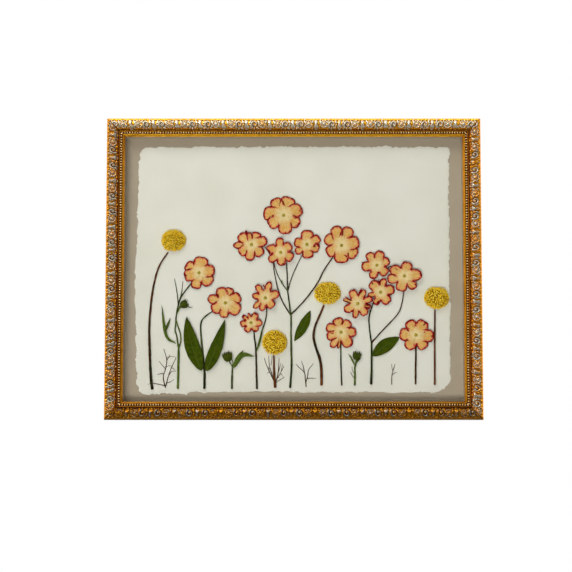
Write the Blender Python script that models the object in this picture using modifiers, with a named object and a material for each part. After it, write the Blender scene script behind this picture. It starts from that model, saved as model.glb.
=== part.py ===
"""Pressed flower frame, built as it would be on a framer's bench.

Four mitred rails of gilt moulding hold, from front to back, a pane of glass, four spacers, a sheet of
handmade paper with the dried specimens on it, a mat board and a backing board. Framer's tabs keep the
pack in, and a sawtooth hanger is nailed to the top rail.

The frame hangs upright: +X right, +Z up, its front faces -Y and its back lies on the plane y = 0.
The origin is the hanger's middle notch, where the wall's nail goes.
"""

import math
import random

import bmesh
import bpy
from mathutils import Matrix, Vector

MM = 0.001

# The frame. Depths are measured forward from the back of the rails.
SIGHT_WIDTH = 349.25 * MM
SIGHT_HEIGHT = 273.05 * MM
MOULDING_WIDTH = 19.05 * MM
LIP_OVERLAP = 4.0 * MM
TOP_ABOVE_NOTCH = 10.5 * MM
GAP = 0.3 * MM

OUTER_WIDTH = SIGHT_WIDTH + 2 * MOULDING_WIDTH
OUTER_HEIGHT = SIGHT_HEIGHT + 2 * MOULDING_WIDTH
CENTRE_Z = TOP_ABOVE_NOTCH - OUTER_HEIGHT / 2
SPECIMENS_LOWER = 1.3 * MM
REBATE_INSET = MOULDING_WIDTH - LIP_OVERLAP

# The moulding's section in millimetres: in from the outer edge, then forward from the back.
MOULDING_SECTION = (
    (0.0, 0.0), (0.0, 20.6), (0.3, 21.7), (0.95, 22.1), (1.7, 21.9),
    (2.6, 23.4), (4.2, 25.1), (6.6, 26.0), (9.0, 25.5), (10.9, 23.9), (11.9, 22.0),
    (12.3, 20.8), (13.0, 20.6), (13.3, 21.5), (13.75, 21.9), (14.2, 21.6),
    (14.7, 22.0), (15.6, 22.2), (16.4, 21.4), (16.9, 20.6), (17.4, 20.5),
    (18.7, 18.9), (19.05, 18.0), (19.05, 16.2), (15.05, 16.2), (15.05, 0.0),
)

# The pack, from the glass back: (front, back) of each layer.
CONTENTS_WIDTH = 355.6 * MM
CONTENTS_HEIGHT = 279.4 * MM
GLASS_DEPTHS = (15.9 * MM, 13.9 * MM)
SPACER_DEPTHS = (13.6 * MM, 5.9 * MM)
SPACER_WIDTH = 3.0 * MM
PAPER_DEPTHS = (6.4 * MM, 5.9 * MM)
MAT_DEPTHS = (5.6 * MM, 4.2 * MM)
BACKING_DEPTHS = (3.9 * MM, 1.6 * MM)
TAB_DEPTHS = (1.3 * MM, 0.8 * MM)

PAPER_WIDTH = 322.0 * MM
PAPER_HEIGHT = 255.5 * MM
PAPER_CORNER = 5.0 * MM
DECKLE_DEPTH = 0.8 * MM
DECKLE_STEPS = 20

TAB_LENGTH = 16.0 * MM
TAB_WIDTH = 6.0 * MM
TAB_IN_WOOD = 3.0 * MM

HANGER_LENGTH = 45.0 * MM
HANGER_HEIGHT = 7.5 * MM
HANGER_THICKNESS = 0.9 * MM
HANGER_TEETH = 9
TOOTH_DEPTH = 0.9 * MM
NAIL_SPACING = 36.0 * MM
NAIL_HEIGHT = 4.4 * MM
NAIL_RADIUS = 0.7 * MM
NAIL_HOLE_RADIUS = 1.1 * MM
NAIL_HEAD_RADIUS = 1.9 * MM
NAIL_LENGTH = 9.0 * MM

# The specimens lie in three layers on the sheet.
STEM_DEPTH = 7.5 * MM
STEM_FLATNESS = 0.7
LEAF_THICKNESS = 0.8 * MM
LEAF_STEPS = 3
LOW_HEAD_DEPTH = 9.0 * MM
HIGH_HEAD_DEPTH = 10.3 * MM
HEAD_THICKNESS = 1.0 * MM
BALL_BASE_DEPTH = 6.7 * MM
BALL_HEIGHT = 6.6 * MM
FLOWER_POINTS = 42

# Places on the sheet are millimetres right of and above its middle.
# Flower heads: middle, radius, petals, turn in degrees, whether it lies over its neighbours.
FLOWERS = (
    ((-98.0, -2.0), 15.8, 6, 10, False),
    ((-71.5, -32.5), 16.8, 7, 0, False),
    ((-44.0, -54.0), 11.4, 6, 20, False),
    ((-30.0, -28.5), 14.8, 7, 5, True),
    ((-44.0, 27.0), 17.0, 7, 15, False),
    ((-13.5, 18.5), 13.6, 6, 0, True),
    ((-11.0, 57.5), 20.5, 7, 12, False),
    ((14.0, 27.0), 13.5, 6, 25, False),
    ((49.5, 27.0), 19.0, 7, 0, False),
    ((85.5, 5.0), 15.4, 6, 5, False),
    ((114.5, -6.5), 17.4, 6, 20, True),
    ((90.0, -23.0), 14.2, 6, 30, False),
    ((66.0, -34.5), 15.2, 7, 8, True),
    ((48.5, -65.0), 15.8, 7, 0, False),
    ((127.0, -67.5), 17.0, 6, 12, False),
)

# Billy button heads: middle, half width, half height.
BALLS = (
    ((-124.5, 31.0), 12.4, 11.0),
    ((-20.0, -75.0), 12.4, 12.4),
    ((35.0, -24.0), 13.6, 11.2),
    ((148.0, -29.0), 12.6, 11.4),
)

# Stems: each branch is a radius and the points that it runs through, from its foot up.
STEMS = (
    ((1.1, ((-147, -123), (-148.5, -109), (-149.5, -88), (-150, -64), (-149, -43),
            (-145.5, -16.5), (-139.5, 4.5), (-130.5, 18.5))),),
    ((1.1, ((-120.5, -122.5), (-120, -103.5), (-119.5, -77), (-121.5, -66), (-122.5, -55),
            (-122, -47.5), (-119, -31), (-106, -13))),
     (0.8, ((-119.5, -77), (-129.5, -68), (-135, -56), (-137, -36))),
     (0.75, ((-121.8, -44), (-119, -40), (-116, -38)))),
    ((1.0, ((-93, -122.5), (-93, -103.5), (-96, -71.5), (-96.5, -55.5), (-92, -48), (-82, -41))),),
    ((1.0, ((-64.5, -123), (-64, -101.5), (-66.5, -95))),
     (0.9, ((-64, -101.5), (-55, -90), (-47, -86.5), (-43, -88.5)))),
    ((1.0, ((-38.5, -123), (-39.5, -82.5), (-41.5, -64))),
     (0.9, ((-39.5, -82.5), (-33.5, -64.5), (-29, -50), (-28, -38)))),
    ((1.1, ((-19.5, -121.5), (-20.5, -107), (-20.8, -88.5))),),
    ((1.0, ((-4, -122), (-2.5, -99), (-3, -74), (-3, -46), (-5.5, -28.5), (-6.5, -20), (-7.5, 8))),
     (0.8, ((-3, -46), (-11.5, -33), (-16.5, -19.5), (-20.5, 0), (-25, 17))),
     (0.85, ((-3, -44.5), (7, -36), (17.5, -23.5), (25.5, -11.5), (40, 13))),
     (0.75, ((-6.3, -21), (-2.5, -8), (4, 13)))),
    ((1.2, ((28.5, -119.5), (28.5, -101.5), (27, -93), (23.5, -82.5), (20.5, -70), (22, -58.5),
            (26.5, -47.5), (31.2, -36.5))),),
    ((0.9, ((49.5, -119.5), (48.5, -95), (48.5, -74))),),
    ((1.0, ((63, -119.5), (63, -101.5), (64, -92))),),
    ((1.0, ((80, -118.5), (80.5, -101), (80.5, -75.5), (78.5, -62), (78, -48), (83, -32))),
     (0.8, ((80.5, -75.5), (93.5, -61), (105, -49), (111, -39), (115, -18)))),
    ((0.9, ((126, -118.5), (126.5, -78))),),
    ((0.9, ((146, -119), (146, -73), (146.3, -41.5))),),
)
STEM_STEP = 8.0 * MM
STEM_SIDES = 6

# Leaves: their outline from the base round, and whether they lie over a stem.
LEAVES = (
    (((-97, -101.5), (-105, -95), (-109.5, -87.5), (-113, -69.5), (-112, -49), (-103, -61),
      (-97.5, -71.5), (-91, -89.5)), True),
    (((-88, -102), (-88.5, -85), (-83, -67), (-71, -52), (-72.5, -71.5), (-76, -88.5),
      (-80, -97)), True),
    (((0.5, -72.5), (2, -62), (9.5, -49.5), (17, -42.5), (16, -52.5), (11, -62.5), (5, -69)), False),
    (((82.5, -91), (82.5, -84.5), (90, -76), (99, -71.5), (109, -70), (99, -85), (89, -90.5)), False),
)

# Buds: middle, radius and the turn of their sepals in degrees.
BUDS = (
    ((-113.5, -35.0), 4.4, 20),
    ((-69.0, -89.5), 5.4, 100),
    ((64.5, -89.5), 4.8, 75),
)

# Tabs: the rail each is let into, and how far along it from the middle.
TABS = (
    ("top", -95.0), ("top", 95.0), ("bottom", -95.0), ("bottom", 95.0), ("left", 0.0), ("right", 0.0),
)
INWARD = {"top": (0, -1), "bottom": (0, 1), "left": (1, 0), "right": (-1, 0)}

COLOURS = {
    "gilt_wood": ((0.62, 0.36, 0.09, 1), 0.35, 0.8),
    "clear_glass": ((0.95, 0.97, 0.96, 1), 0.02, 0.0),
    "taupe_board": ((0.27, 0.24, 0.19, 1), 0.9, 0.0),
    "handmade_paper": ((0.75, 0.74, 0.63, 1), 0.9, 0.0),
    "brown_board": ((0.23, 0.14, 0.07, 1), 0.85, 0.0),
    "zinc_steel": ((0.55, 0.56, 0.58, 1), 0.35, 1.0),
    "brass_plate": ((0.65, 0.47, 0.18, 1), 0.3, 1.0),
    "dried_petal": ((0.75, 0.42, 0.16, 1), 0.7, 0.0),
    "yellow_floret": ((0.55, 0.36, 0.01, 1), 0.8, 0.0),
    "dried_stem": ((0.08, 0.07, 0.02, 1), 0.7, 0.0),
    "dried_leaf": ((0.05, 0.11, 0.01, 1), 0.6, 0.0),
}


def clear_scene():
    for obj in list(bpy.data.objects):
        bpy.data.objects.remove(obj)


def new_collection(name):
    collection = bpy.data.collections.new(name)
    bpy.context.scene.collection.children.link(collection)
    return collection


def new_material(name):
    colour, roughness, metallic = COLOURS[name]
    material = bpy.data.materials.new(name)
    material.use_nodes = True
    shader = material.node_tree.nodes["Principled BSDF"]
    shader.inputs["Base Color"].default_value = colour
    shader.inputs["Roughness"].default_value = roughness
    shader.inputs["Metallic"].default_value = metallic
    material.diffuse_color = colour
    return material


def finish_part(obj, material):
    """Give a part its own copy of a material."""
    own = new_material(material)
    own.name = obj.name + "_" + material
    obj.data.materials.clear()
    obj.data.materials.append(own)
    return obj


def as_mesh(obj, collection, weld=0.00001):
    """Turn a curve object into a welded mesh of the same name, in the same place."""
    graph = bpy.context.evaluated_depsgraph_get()
    mesh = bpy.data.meshes.new_from_object(obj.evaluated_get(graph))
    name, matrix = obj.name, obj.matrix_world.copy()
    bpy.data.objects.remove(obj)
    shape = bmesh.new()
    shape.from_mesh(mesh)
    bmesh.ops.remove_doubles(shape, verts=shape.verts, dist=weld)
    bmesh.ops.recalc_face_normals(shape, faces=shape.faces)
    shape.to_mesh(mesh)
    shape.free()
    made = bpy.data.objects.new(name, mesh)
    mesh.name = name
    made.matrix_world = matrix
    collection.objects.link(made)
    return made


def outline(name, loops, thickness, collection):
    """A flat plate in its own XY plane, from one outer loop and any holes in it."""
    curve = bpy.data.curves.new(name, "CURVE")
    curve.dimensions = "2D"
    curve.fill_mode = "BOTH"
    curve.extrude = thickness / 2
    for loop in loops:
        spline = curve.splines.new("POLY")
        spline.points.add(len(loop) - 1)
        for point, (x, y) in zip(spline.points, loop):
            point.co = (x, y, 0, 1)
        spline.use_cyclic_u = True
    obj = bpy.data.objects.new(name, curve)
    collection.objects.link(obj)
    bpy.context.view_layer.update()
    return obj


def facing_front(x, z, depth):
    """The matrix that stands a flat plate up in the frame: its X right, its Y up, its Z to the front."""
    height = CENTRE_Z - SPECIMENS_LOWER + z
    return Matrix.Translation((x, -depth, height)) @ Matrix.Rotation(math.radians(90), 4, "X")


def flat_piece(name, loops, thickness, depth, collection, centre=(0, 0)):
    obj = outline(name, loops, thickness, collection)
    obj.matrix_world = facing_front(centre[0], centre[1], depth)
    bpy.context.view_layer.update()
    return as_mesh(obj, collection)


def box(name, low, high, collection):
    size = Vector(high) - Vector(low)
    bpy.ops.mesh.primitive_cube_add(size=1, location=(Vector(high) + Vector(low)) / 2)
    obj = bpy.context.object
    obj.name = obj.data.name = name
    obj.scale = size
    bpy.ops.object.transform_apply(location=False, rotation=False, scale=True)
    for owner in list(obj.users_collection):
        owner.objects.unlink(obj)
    collection.objects.link(obj)
    return obj


def cylinder(name, radius, start, end, sides, collection):
    axis = Vector(end) - Vector(start)
    bpy.ops.mesh.primitive_cylinder_add(radius=radius, depth=axis.length, vertices=sides)
    obj = bpy.context.object
    obj.name = obj.data.name = name
    obj.location = (Vector(start) + Vector(end)) / 2
    obj.rotation_euler = axis.to_track_quat("Z", "Y").to_euler()
    for owner in list(obj.users_collection):
        owner.objects.unlink(obj)
    collection.objects.link(obj)
    return obj


def cut(obj, cutter, cutters):
    for owner in list(cutter.users_collection):
        owner.objects.unlink(cutter)
    cutters.objects.link(cutter)
    cutter.hide_render = True
    cutter.display_type = "WIRE"
    modifier = obj.modifiers.new(cutter.name, "BOOLEAN")
    modifier.operation = "DIFFERENCE"
    modifier.object = cutter


# The rails


def mitre(mesh, side):
    """Cut the rail's end, at x = side * length / 2, at 45 degrees. Its section's Y points outward."""
    shape = bmesh.new()
    shape.from_mesh(mesh)
    half = max(vert.co.x for vert in shape.verts)
    point = Vector((side * (half - GAP / math.sqrt(2)), 0, 0))
    normal = Vector((side, -1, 0)).normalized()
    everything = shape.verts[:] + shape.edges[:] + shape.faces[:]
    bmesh.ops.bisect_plane(shape, geom=everything, plane_co=point, plane_no=normal, clear_outer=True)
    open_edges = [edge for edge in shape.edges if edge.is_boundary]
    bmesh.ops.holes_fill(shape, edges=open_edges)
    bmesh.ops.recalc_face_normals(shape, faces=shape.faces)
    shape.to_mesh(mesh)
    shape.free()


def rail(side, collection):
    """One length of moulding, mitred at both ends. As made, X runs along it, Y outward, Z forward."""
    length = OUTER_WIDTH if side in ("top", "bottom") else OUTER_HEIGHT
    across = OUTER_HEIGHT if side in ("top", "bottom") else OUTER_WIDTH
    section = [(-inset * MM, depth * MM) for inset, depth in MOULDING_SECTION]
    obj = outline("rail_" + side, [section], length, collection)
    obj.matrix_world = Matrix.Rotation(math.radians(90), 4, "Z") @ Matrix.Rotation(math.radians(90), 4, "X")
    bpy.context.view_layer.update()
    obj = as_mesh(obj, collection)
    obj.data.transform(obj.matrix_world)
    obj.matrix_world = Matrix.Identity(4)
    for end in (-1, 1):
        mitre(obj.data, end)
    turns = {"top": 0, "left": 90, "bottom": 180, "right": -90}
    stand = Matrix.Rotation(math.radians(90), 4, "X")
    turn = Matrix.Rotation(math.radians(turns[side]), 4, "Z")
    out = Matrix.Translation((0, across / 2, 0))
    obj.matrix_world = Matrix.Translation((0, 0, CENTRE_Z)) @ stand @ turn @ out
    return finish_part(obj, "gilt_wood")


def tab_box(side, along, grow, reach):
    """The low and high corners of a tab or of its slot, which is larger by grow and reaches in less."""
    direction = Vector((INWARD[side][0], 0, INWARD[side][1]))
    across = Vector((abs(direction.z), 0, abs(direction.x)))
    half = (OUTER_HEIGHT if side in ("top", "bottom") else OUTER_WIDTH) / 2
    edge = -direction * (half - REBATE_INSET) + across * along * MM + Vector((0, 0, CENTRE_Z))
    outer = edge - direction * (TAB_IN_WOOD + grow)
    inner = edge + direction * reach
    spread = across * (TAB_WIDTH / 2 + grow)
    corners = [outer - spread, outer + spread, inner - spread, inner + spread]
    low = Vector([min(corner[i] for corner in corners) for i in range(3)])
    high = Vector([max(corner[i] for corner in corners) for i in range(3)])
    low.y, high.y = -TAB_DEPTHS[0] - grow, -TAB_DEPTHS[1] + grow
    return low, high


def make_tabs(rails, parts, cutters):
    for number, (side, along) in enumerate(TABS, 1):
        slot = box("tab_slot_" + str(number), *tab_box(side, along, GAP, 2 * GAP), cutters)
        cut(rails[side], slot, cutters)
        tab = box("tab_" + str(number), *tab_box(side, along, 0, TAB_LENGTH - TAB_IN_WOOD), parts)
        finish_part(tab, "zinc_steel")


# The pack behind the lip


def layer(name, depths, material, collection):
    low = (-CONTENTS_WIDTH / 2, -depths[0], CENTRE_Z - CONTENTS_HEIGHT / 2)
    high = (CONTENTS_WIDTH / 2, -depths[1], CENTRE_Z + CONTENTS_HEIGHT / 2)
    return finish_part(box(name, low, high, collection), material)


def make_spacers(collection):
    """Two strips run the full width, and the two between them stop short of these."""
    half_width, half_height = CONTENTS_WIDTH / 2, CONTENTS_HEIGHT / 2
    front, back = SPACER_DEPTHS
    for name, sign in (("top", 1), ("bottom", -1)):
        inner = CENTRE_Z + sign * (half_height - SPACER_WIDTH)
        outer = CENTRE_Z + sign * half_height
        low = (-half_width, -front, min(inner, outer))
        high = (half_width, -back, max(inner, outer))
        finish_part(box("spacer_" + name, low, high, collection), "taupe_board")
    side_height = half_height - SPACER_WIDTH - GAP
    for name, sign in (("left", -1), ("right", 1)):
        inner, outer = sign * (half_width - SPACER_WIDTH), sign * half_width
        low = (min(inner, outer), -front, CENTRE_Z - side_height)
        high = (max(inner, outer), -back, CENTRE_Z + side_height)
        finish_part(box("spacer_" + name, low, high, collection), "taupe_board")


def deckle_outline():
    """The sheet's edge: a rectangle with rounded corners that wanders in and out."""
    draw = random.Random(7)
    half_x, half_y = PAPER_WIDTH / 2, PAPER_HEIGHT / 2
    loop = []
    for turn in range(4):
        along, away = ((half_y, half_x), (half_x, half_y))[turn % 2]
        straight = along - PAPER_CORNER
        right_angle = Matrix.Rotation(math.radians(90 * turn), 2)
        for step in range(DECKLE_STEPS):
            place = -straight + 2 * straight * step / DECKLE_STEPS
            loop.append(right_angle @ Vector((away - draw.uniform(0, DECKLE_DEPTH), place)))
        for angle in (0, 30, 60):
            corner = Vector((math.cos(math.radians(angle)), math.sin(math.radians(angle))))
            centre = Vector((away - PAPER_CORNER, straight))
            loop.append(right_angle @ (centre + corner * PAPER_CORNER))
    return loop


def make_paper(collection):
    thickness = PAPER_DEPTHS[0] - PAPER_DEPTHS[1]
    depth = (PAPER_DEPTHS[0] + PAPER_DEPTHS[1]) / 2
    middle = (0, SPECIMENS_LOWER)
    sheet = flat_piece("paper_sheet", [deckle_outline()], thickness, depth, collection, middle)
    return finish_part(sheet, "handmade_paper")


# The hanger


def circle(x, y, radius, sides):
    angles = [2 * math.pi * step / sides for step in range(sides)]
    return [(x + radius * math.cos(a), y + radius * math.sin(a)) for a in angles]


def make_hanger(top_rail, parts, cutters):
    """A toothed plate with rounded ends on the back of the top rail, its middle notch at the origin."""
    half, pitch = HANGER_LENGTH / 2, HANGER_LENGTH * 0.6 / HANGER_TEETH
    loop = []
    for tooth in range(-HANGER_TEETH // 2, HANGER_TEETH // 2 + 1):
        middle = (tooth + 0.5) * pitch
        loop += [(middle, -TOOTH_DEPTH), (middle + pitch / 2, 0)]
    loop.pop()
    centre_y = HANGER_HEIGHT / 2
    for step in range(7):
        angle = math.radians(-90 + 30 * step)
        loop.append((half - centre_y + centre_y * math.cos(angle), centre_y + centre_y * math.sin(angle)))
    for step in range(7):
        angle = math.radians(90 + 30 * step)
        loop.append((-half + centre_y + centre_y * math.cos(angle), centre_y + centre_y * math.sin(angle)))
    holes = [circle(side * NAIL_SPACING / 2, NAIL_HEIGHT, NAIL_HOLE_RADIUS, 12) for side in (-1, 1)]
    obj = outline("hanger", [loop] + holes, HANGER_THICKNESS, parts)
    middle_y = GAP + HANGER_THICKNESS / 2
    obj.matrix_world = Matrix.Translation((0, middle_y, 0)) @ Matrix.Rotation(math.radians(90), 4, "X")
    bpy.context.view_layer.update()
    finish_part(as_mesh(obj, parts), "brass_plate")
    for name, side in (("left", -1), ("right", 1)):
        make_nail(name, side * NAIL_SPACING / 2, top_rail, parts, cutters)


def make_nail(name, x, top_rail, parts, cutters):
    """A round-headed nail through the plate into a clear hole in the rail."""
    head_y = 2 * GAP + HANGER_THICKNESS
    profile = ((0, 1.0), (0.5, 0.94), (0.86, 0.62), (1.0, 0.2), (1.0, 0.0))
    radii = [(NAIL_HEAD_RADIUS * r, head_y + h * MM) for r, h in profile]
    radii += [(NAIL_RADIUS, head_y), (NAIL_RADIUS, head_y - NAIL_LENGTH), (0, head_y - NAIL_LENGTH - MM)]
    mesh = bpy.data.meshes.new("hanger_nail_" + name)
    mesh.from_pydata([(r, 0, h) for r, h in radii], [(i, i + 1) for i in range(len(radii) - 1)], [])
    obj = bpy.data.objects.new("hanger_nail_" + name, mesh)
    parts.objects.link(obj)
    screw = obj.modifiers.new("turn", "SCREW")
    screw.steps = screw.render_steps = 12
    screw.use_merge_vertices = True
    screw.merge_threshold = 0.00001
    obj.matrix_world = Matrix.Translation((x, 0, NAIL_HEIGHT)) @ Matrix.Rotation(math.radians(-90), 4, "X")
    finish_part(obj, "zinc_steel")
    mouth = (x, MM, NAIL_HEIGHT)
    bottom = (x, head_y - NAIL_LENGTH - 2 * MM, NAIL_HEIGHT)
    hole = cylinder("nail_hole_" + name, NAIL_HOLE_RADIUS, mouth, bottom, 12, cutters)
    cut(top_rail, hole, cutters)


# The specimens


def petal_outline(radius, petals, turn):
    """A pressed head's edge: round petals with notches between them."""
    loop = []
    for step in range(FLOWER_POINTS):
        angle = 2 * math.pi * step / FLOWER_POINTS
        lobe = abs(math.cos(petals * angle / 2)) ** 0.6
        reach = radius * MM * (0.80 + 0.17 * lobe)
        angle += math.radians(turn)
        loop.append((reach * math.cos(angle), reach * math.sin(angle)))
    return loop


def make_flowers(collection):
    for number, (place, radius, petals, turn, over) in enumerate(FLOWERS, 1):
        depth = HIGH_HEAD_DEPTH if over else LOW_HEAD_DEPTH
        name = "flower_%02d" % number
        centre = (place[0] * MM, place[1] * MM)
        loop = petal_outline(radius, petals, turn)
        head = flat_piece(name, [loop], HEAD_THICKNESS, depth, collection, centre)
        finish_part(head, "dried_petal")


def make_balls(collection):
    """Round flower heads pressed to a dome: the front half of an ellipsoid, flat on the sheet."""
    for number, (place, half_width, half_height) in enumerate(BALLS, 1):
        mesh = bpy.data.meshes.new("ball_" + str(number))
        shape = bmesh.new()
        bmesh.ops.create_uvsphere(shape, u_segments=18, v_segments=10, radius=1.0)
        everything = shape.verts[:] + shape.edges[:] + shape.faces[:]
        bmesh.ops.bisect_plane(
            shape, geom=everything, plane_co=(0, 0, -0.25), plane_no=(0, 0, -1), clear_outer=True
        )
        bmesh.ops.holes_fill(shape, edges=[edge for edge in shape.edges if edge.is_boundary])
        size = (half_width * MM, half_height * MM, BALL_HEIGHT / 1.25)
        bmesh.ops.scale(shape, vec=size, verts=shape.verts)
        bmesh.ops.recalc_face_normals(shape, faces=shape.faces)
        shape.to_mesh(mesh)
        shape.free()
        obj = bpy.data.objects.new("ball_" + str(number), mesh)
        collection.objects.link(obj)
        middle_depth = BALL_BASE_DEPTH + BALL_HEIGHT * 0.2
        obj.matrix_world = facing_front(place[0] * MM, place[1] * MM, middle_depth)
        finish_part(obj, "yellow_floret")


def between(a, b, c, d, steps):
    """Points from b towards c on the Catmull-Rom curve through four points."""
    for step in range(steps):
        t = step / steps
        bend = (2 * a - 5 * b + 4 * c - d) * t * t + (3 * b - a - 3 * c + d) * t ** 3
        yield b + ((c - a) * t + bend) / 2


def smooth_route(points):
    """Points about STEM_STEP apart on a smooth curve through a branch's own points."""
    known = [Vector((x * MM, y * MM)) for x, y in points]
    known = [2 * known[0] - known[1]] + known + [2 * known[-1] - known[-2]]
    route = []
    for a, b, c, d in zip(known, known[1:], known[2:], known[3:]):
        route += between(a, b, c, d, max(1, round((c - b).length / STEM_STEP)))
    route.append(known[-2])
    return route


def smooth_loop(points):
    """A closed smooth curve through a leaf's own points."""
    known = [Vector((x * MM, y * MM)) for x, y in points]
    count = len(known)
    loop = []
    for i in range(count):
        near = [known[(i + step) % count] for step in (-1, 0, 1, 2)]
        loop += between(*near, LEAF_STEPS)
    return loop


def branch_tube(name, radius, points, collection):
    """A branch as a flattened tube that lies on the sheet."""
    curve = bpy.data.curves.new(name, "CURVE")
    curve.dimensions = "3D"
    curve.bevel_depth = radius * MM
    curve.bevel_resolution = (STEM_SIDES - 4) // 2
    curve.use_fill_caps = True
    route = smooth_route(points)
    spline = curve.splines.new("POLY")
    spline.points.add(len(route) - 1)
    for point, place in zip(spline.points, route):
        point.co = (place.x, place.y, 0, 1)
    obj = bpy.data.objects.new(name, curve)
    collection.objects.link(obj)
    bpy.context.view_layer.update()
    made = as_mesh(obj, collection)
    for vert in made.data.vertices:
        vert.co.z *= STEM_FLATNESS
    made.matrix_world = facing_front(0, 0, STEM_DEPTH)
    return made


def make_stems(parts, cutters):
    """Each stem is one piece: its side branches are joined to the main one."""
    for number, branches in enumerate(STEMS, 1):
        name = "stem_%02d" % number
        stem = branch_tube(name, *branches[0], parts)
        finish_part(stem, "dried_stem")
        for index, branch in enumerate(branches[1:], 1):
            side = branch_tube(name + "_branch_" + str(index), *branch, parts)
            cut(stem, side, cutters)
            stem.modifiers[-1].operation = "UNION"


def make_leaves(collection):
    for number, (points, over) in enumerate(LEAVES, 1):
        depth = LOW_HEAD_DEPTH if over else STEM_DEPTH
        leaf = flat_piece("leaf_" + str(number), [smooth_loop(points)], LEAF_THICKNESS, depth, collection)
        finish_part(leaf, "dried_leaf")


def make_buds(collection):
    """Closed buds seen from the side: a round body with three sepal tips."""
    for number, (place, radius, turn) in enumerate(BUDS, 1):
        loop = []
        for step in range(24):
            angle = 2 * math.pi * step / 24
            tips = max(0.0, math.cos(angle)) * 0.16 * math.cos(9 * angle)
            reach = radius * MM * (0.82 + tips)
            turned = angle + math.radians(turn)
            loop.append((reach * math.cos(turned), reach * math.sin(turned)))
        centre = (place[0] * MM, place[1] * MM)
        bud = flat_piece("bud_" + str(number), [loop], HEAD_THICKNESS, LOW_HEAD_DEPTH, collection, centre)
        finish_part(bud, "dried_leaf")


def main():
    clear_scene()
    parts = new_collection("pressed_flower_frame")
    cutters = new_collection("cutters")
    rails = {side: rail(side, parts) for side in INWARD}
    layer("glass", GLASS_DEPTHS, "clear_glass", parts)
    make_spacers(parts)
    make_paper(parts)
    layer("mat_board", MAT_DEPTHS, "taupe_board", parts)
    layer("backing_board", BACKING_DEPTHS, "brown_board", parts)
    make_tabs(rails, parts, cutters)
    make_hanger(rails["top"], parts, cutters)
    make_flowers(parts)
    make_balls(parts)
    make_stems(parts, cutters)
    make_leaves(parts)
    make_buds(parts)
    bpy.context.view_layer.update()


main()
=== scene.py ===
"""Looks for the pressed flower frame: gilt moulding, glass, deckle-edged sheet and the dried flowers on it.

Each operator makes one piece, or one group of like pieces, around the frame that holds their solids.
Lengths in the tables are millimetres, and places on the sheet are right of and above its middle.
"""

import math

import bpy
import numpy as np
from bpy.props import FloatProperty, FloatVectorProperty, PointerProperty
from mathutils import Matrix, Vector, noise
from mathutils.geometry import delaunay_2d_cdt


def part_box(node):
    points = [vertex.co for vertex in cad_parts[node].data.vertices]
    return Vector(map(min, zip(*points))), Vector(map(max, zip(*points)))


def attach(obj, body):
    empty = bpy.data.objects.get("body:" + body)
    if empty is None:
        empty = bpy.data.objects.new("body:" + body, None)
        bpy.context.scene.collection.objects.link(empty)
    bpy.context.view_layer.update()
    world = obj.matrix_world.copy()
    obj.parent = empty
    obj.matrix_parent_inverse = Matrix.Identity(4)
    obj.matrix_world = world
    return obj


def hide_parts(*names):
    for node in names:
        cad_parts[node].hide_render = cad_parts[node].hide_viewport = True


bl_info = {
    "name": "Pressed flower frame",
    "version": (1, 0, 0),
    "blender": (4, 5, 0),
    "location": "3D View > Sidebar > Flower frame",
    "description": "Builds a gilt frame with pressed flowers on a deckle-edged sheet",
    "category": "Object",
}

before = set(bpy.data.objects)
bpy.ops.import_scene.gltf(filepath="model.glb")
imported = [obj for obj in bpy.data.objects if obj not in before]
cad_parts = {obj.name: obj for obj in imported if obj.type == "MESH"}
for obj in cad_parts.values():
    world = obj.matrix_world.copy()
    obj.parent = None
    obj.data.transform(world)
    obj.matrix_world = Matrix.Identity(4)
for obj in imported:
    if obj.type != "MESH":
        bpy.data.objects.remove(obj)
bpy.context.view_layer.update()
MM = 0.001

rail_boxes = [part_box("rail_" + side) for side in ("top", "bottom", "left", "right")]
LEFT = min(low.x for low, high in rail_boxes)
RIGHT = max(high.x for low, high in rail_boxes)
BOTTOM = min(low.z for low, high in rail_boxes)
TOP = max(high.z for low, high in rail_boxes)
CENTRE_Z = (TOP + BOTTOM) / 2
HALF_WIDTH = (RIGHT - LEFT) / 2
HALF_HEIGHT = (TOP - BOTTOM) / 2
PAPER_FRONT = -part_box("paper_sheet")[0].y / MM
PAPER_BACK = -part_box("paper_sheet")[1].y / MM

# The moulding's section: in from the outer edge, forward from the back, and how much gold leaf is on it.
MOULDING_SECTION = (
    (0.4, 0.0, 0.0), (0.0, 0.4, 0.05), (0.0, 9.0, 0.12), (0.0, 17.2, 0.35), (0.3, 17.9, 0.5),
    (1.2, 18.2, 0.2), (1.6, 20.0, 0.1), (4.0, 21.6, 0.1), (6.7, 22.3, 0.1), (9.6, 21.4, 0.1),
    (11.6, 19.8, 0.1), (12.0, 19.6, 0.15), (12.3, 19.5, 0.28), (12.7, 19.55, 0.32), (13.05, 19.9, 0.3),
    (13.2, 20.4, 0.4), (13.25, 20.8, 0.75), (13.38, 21.15, 0.95), (13.55, 21.4, 1.0), (13.7, 21.42, 1.0),
    (13.9, 21.25, 0.9), (14.0, 20.9, 0.7), (14.06, 20.4, 0.3), (14.2, 20.0, 0.1), (14.7, 19.8, 0.08),
    (15.4, 19.75, 0.08), (16.1, 19.8, 0.08), (16.5, 20.0, 0.2), (16.6, 20.45, 0.6), (16.75, 20.72, 0.95),
    (17.1, 20.8, 1.0), (17.5, 20.55, 1.0), (17.95, 20.05, 0.95), (18.35, 19.4, 0.95),
    (18.75, 18.7, 1.0), (19.0, 18.0, 1.0), (19.05, 17.3, 0.9), (19.05, 16.25, 0.7), (15.05, 16.25, 0.0),
    (15.05, 0.4, 0.0), (14.65, 0.0, 0.0),
)
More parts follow.
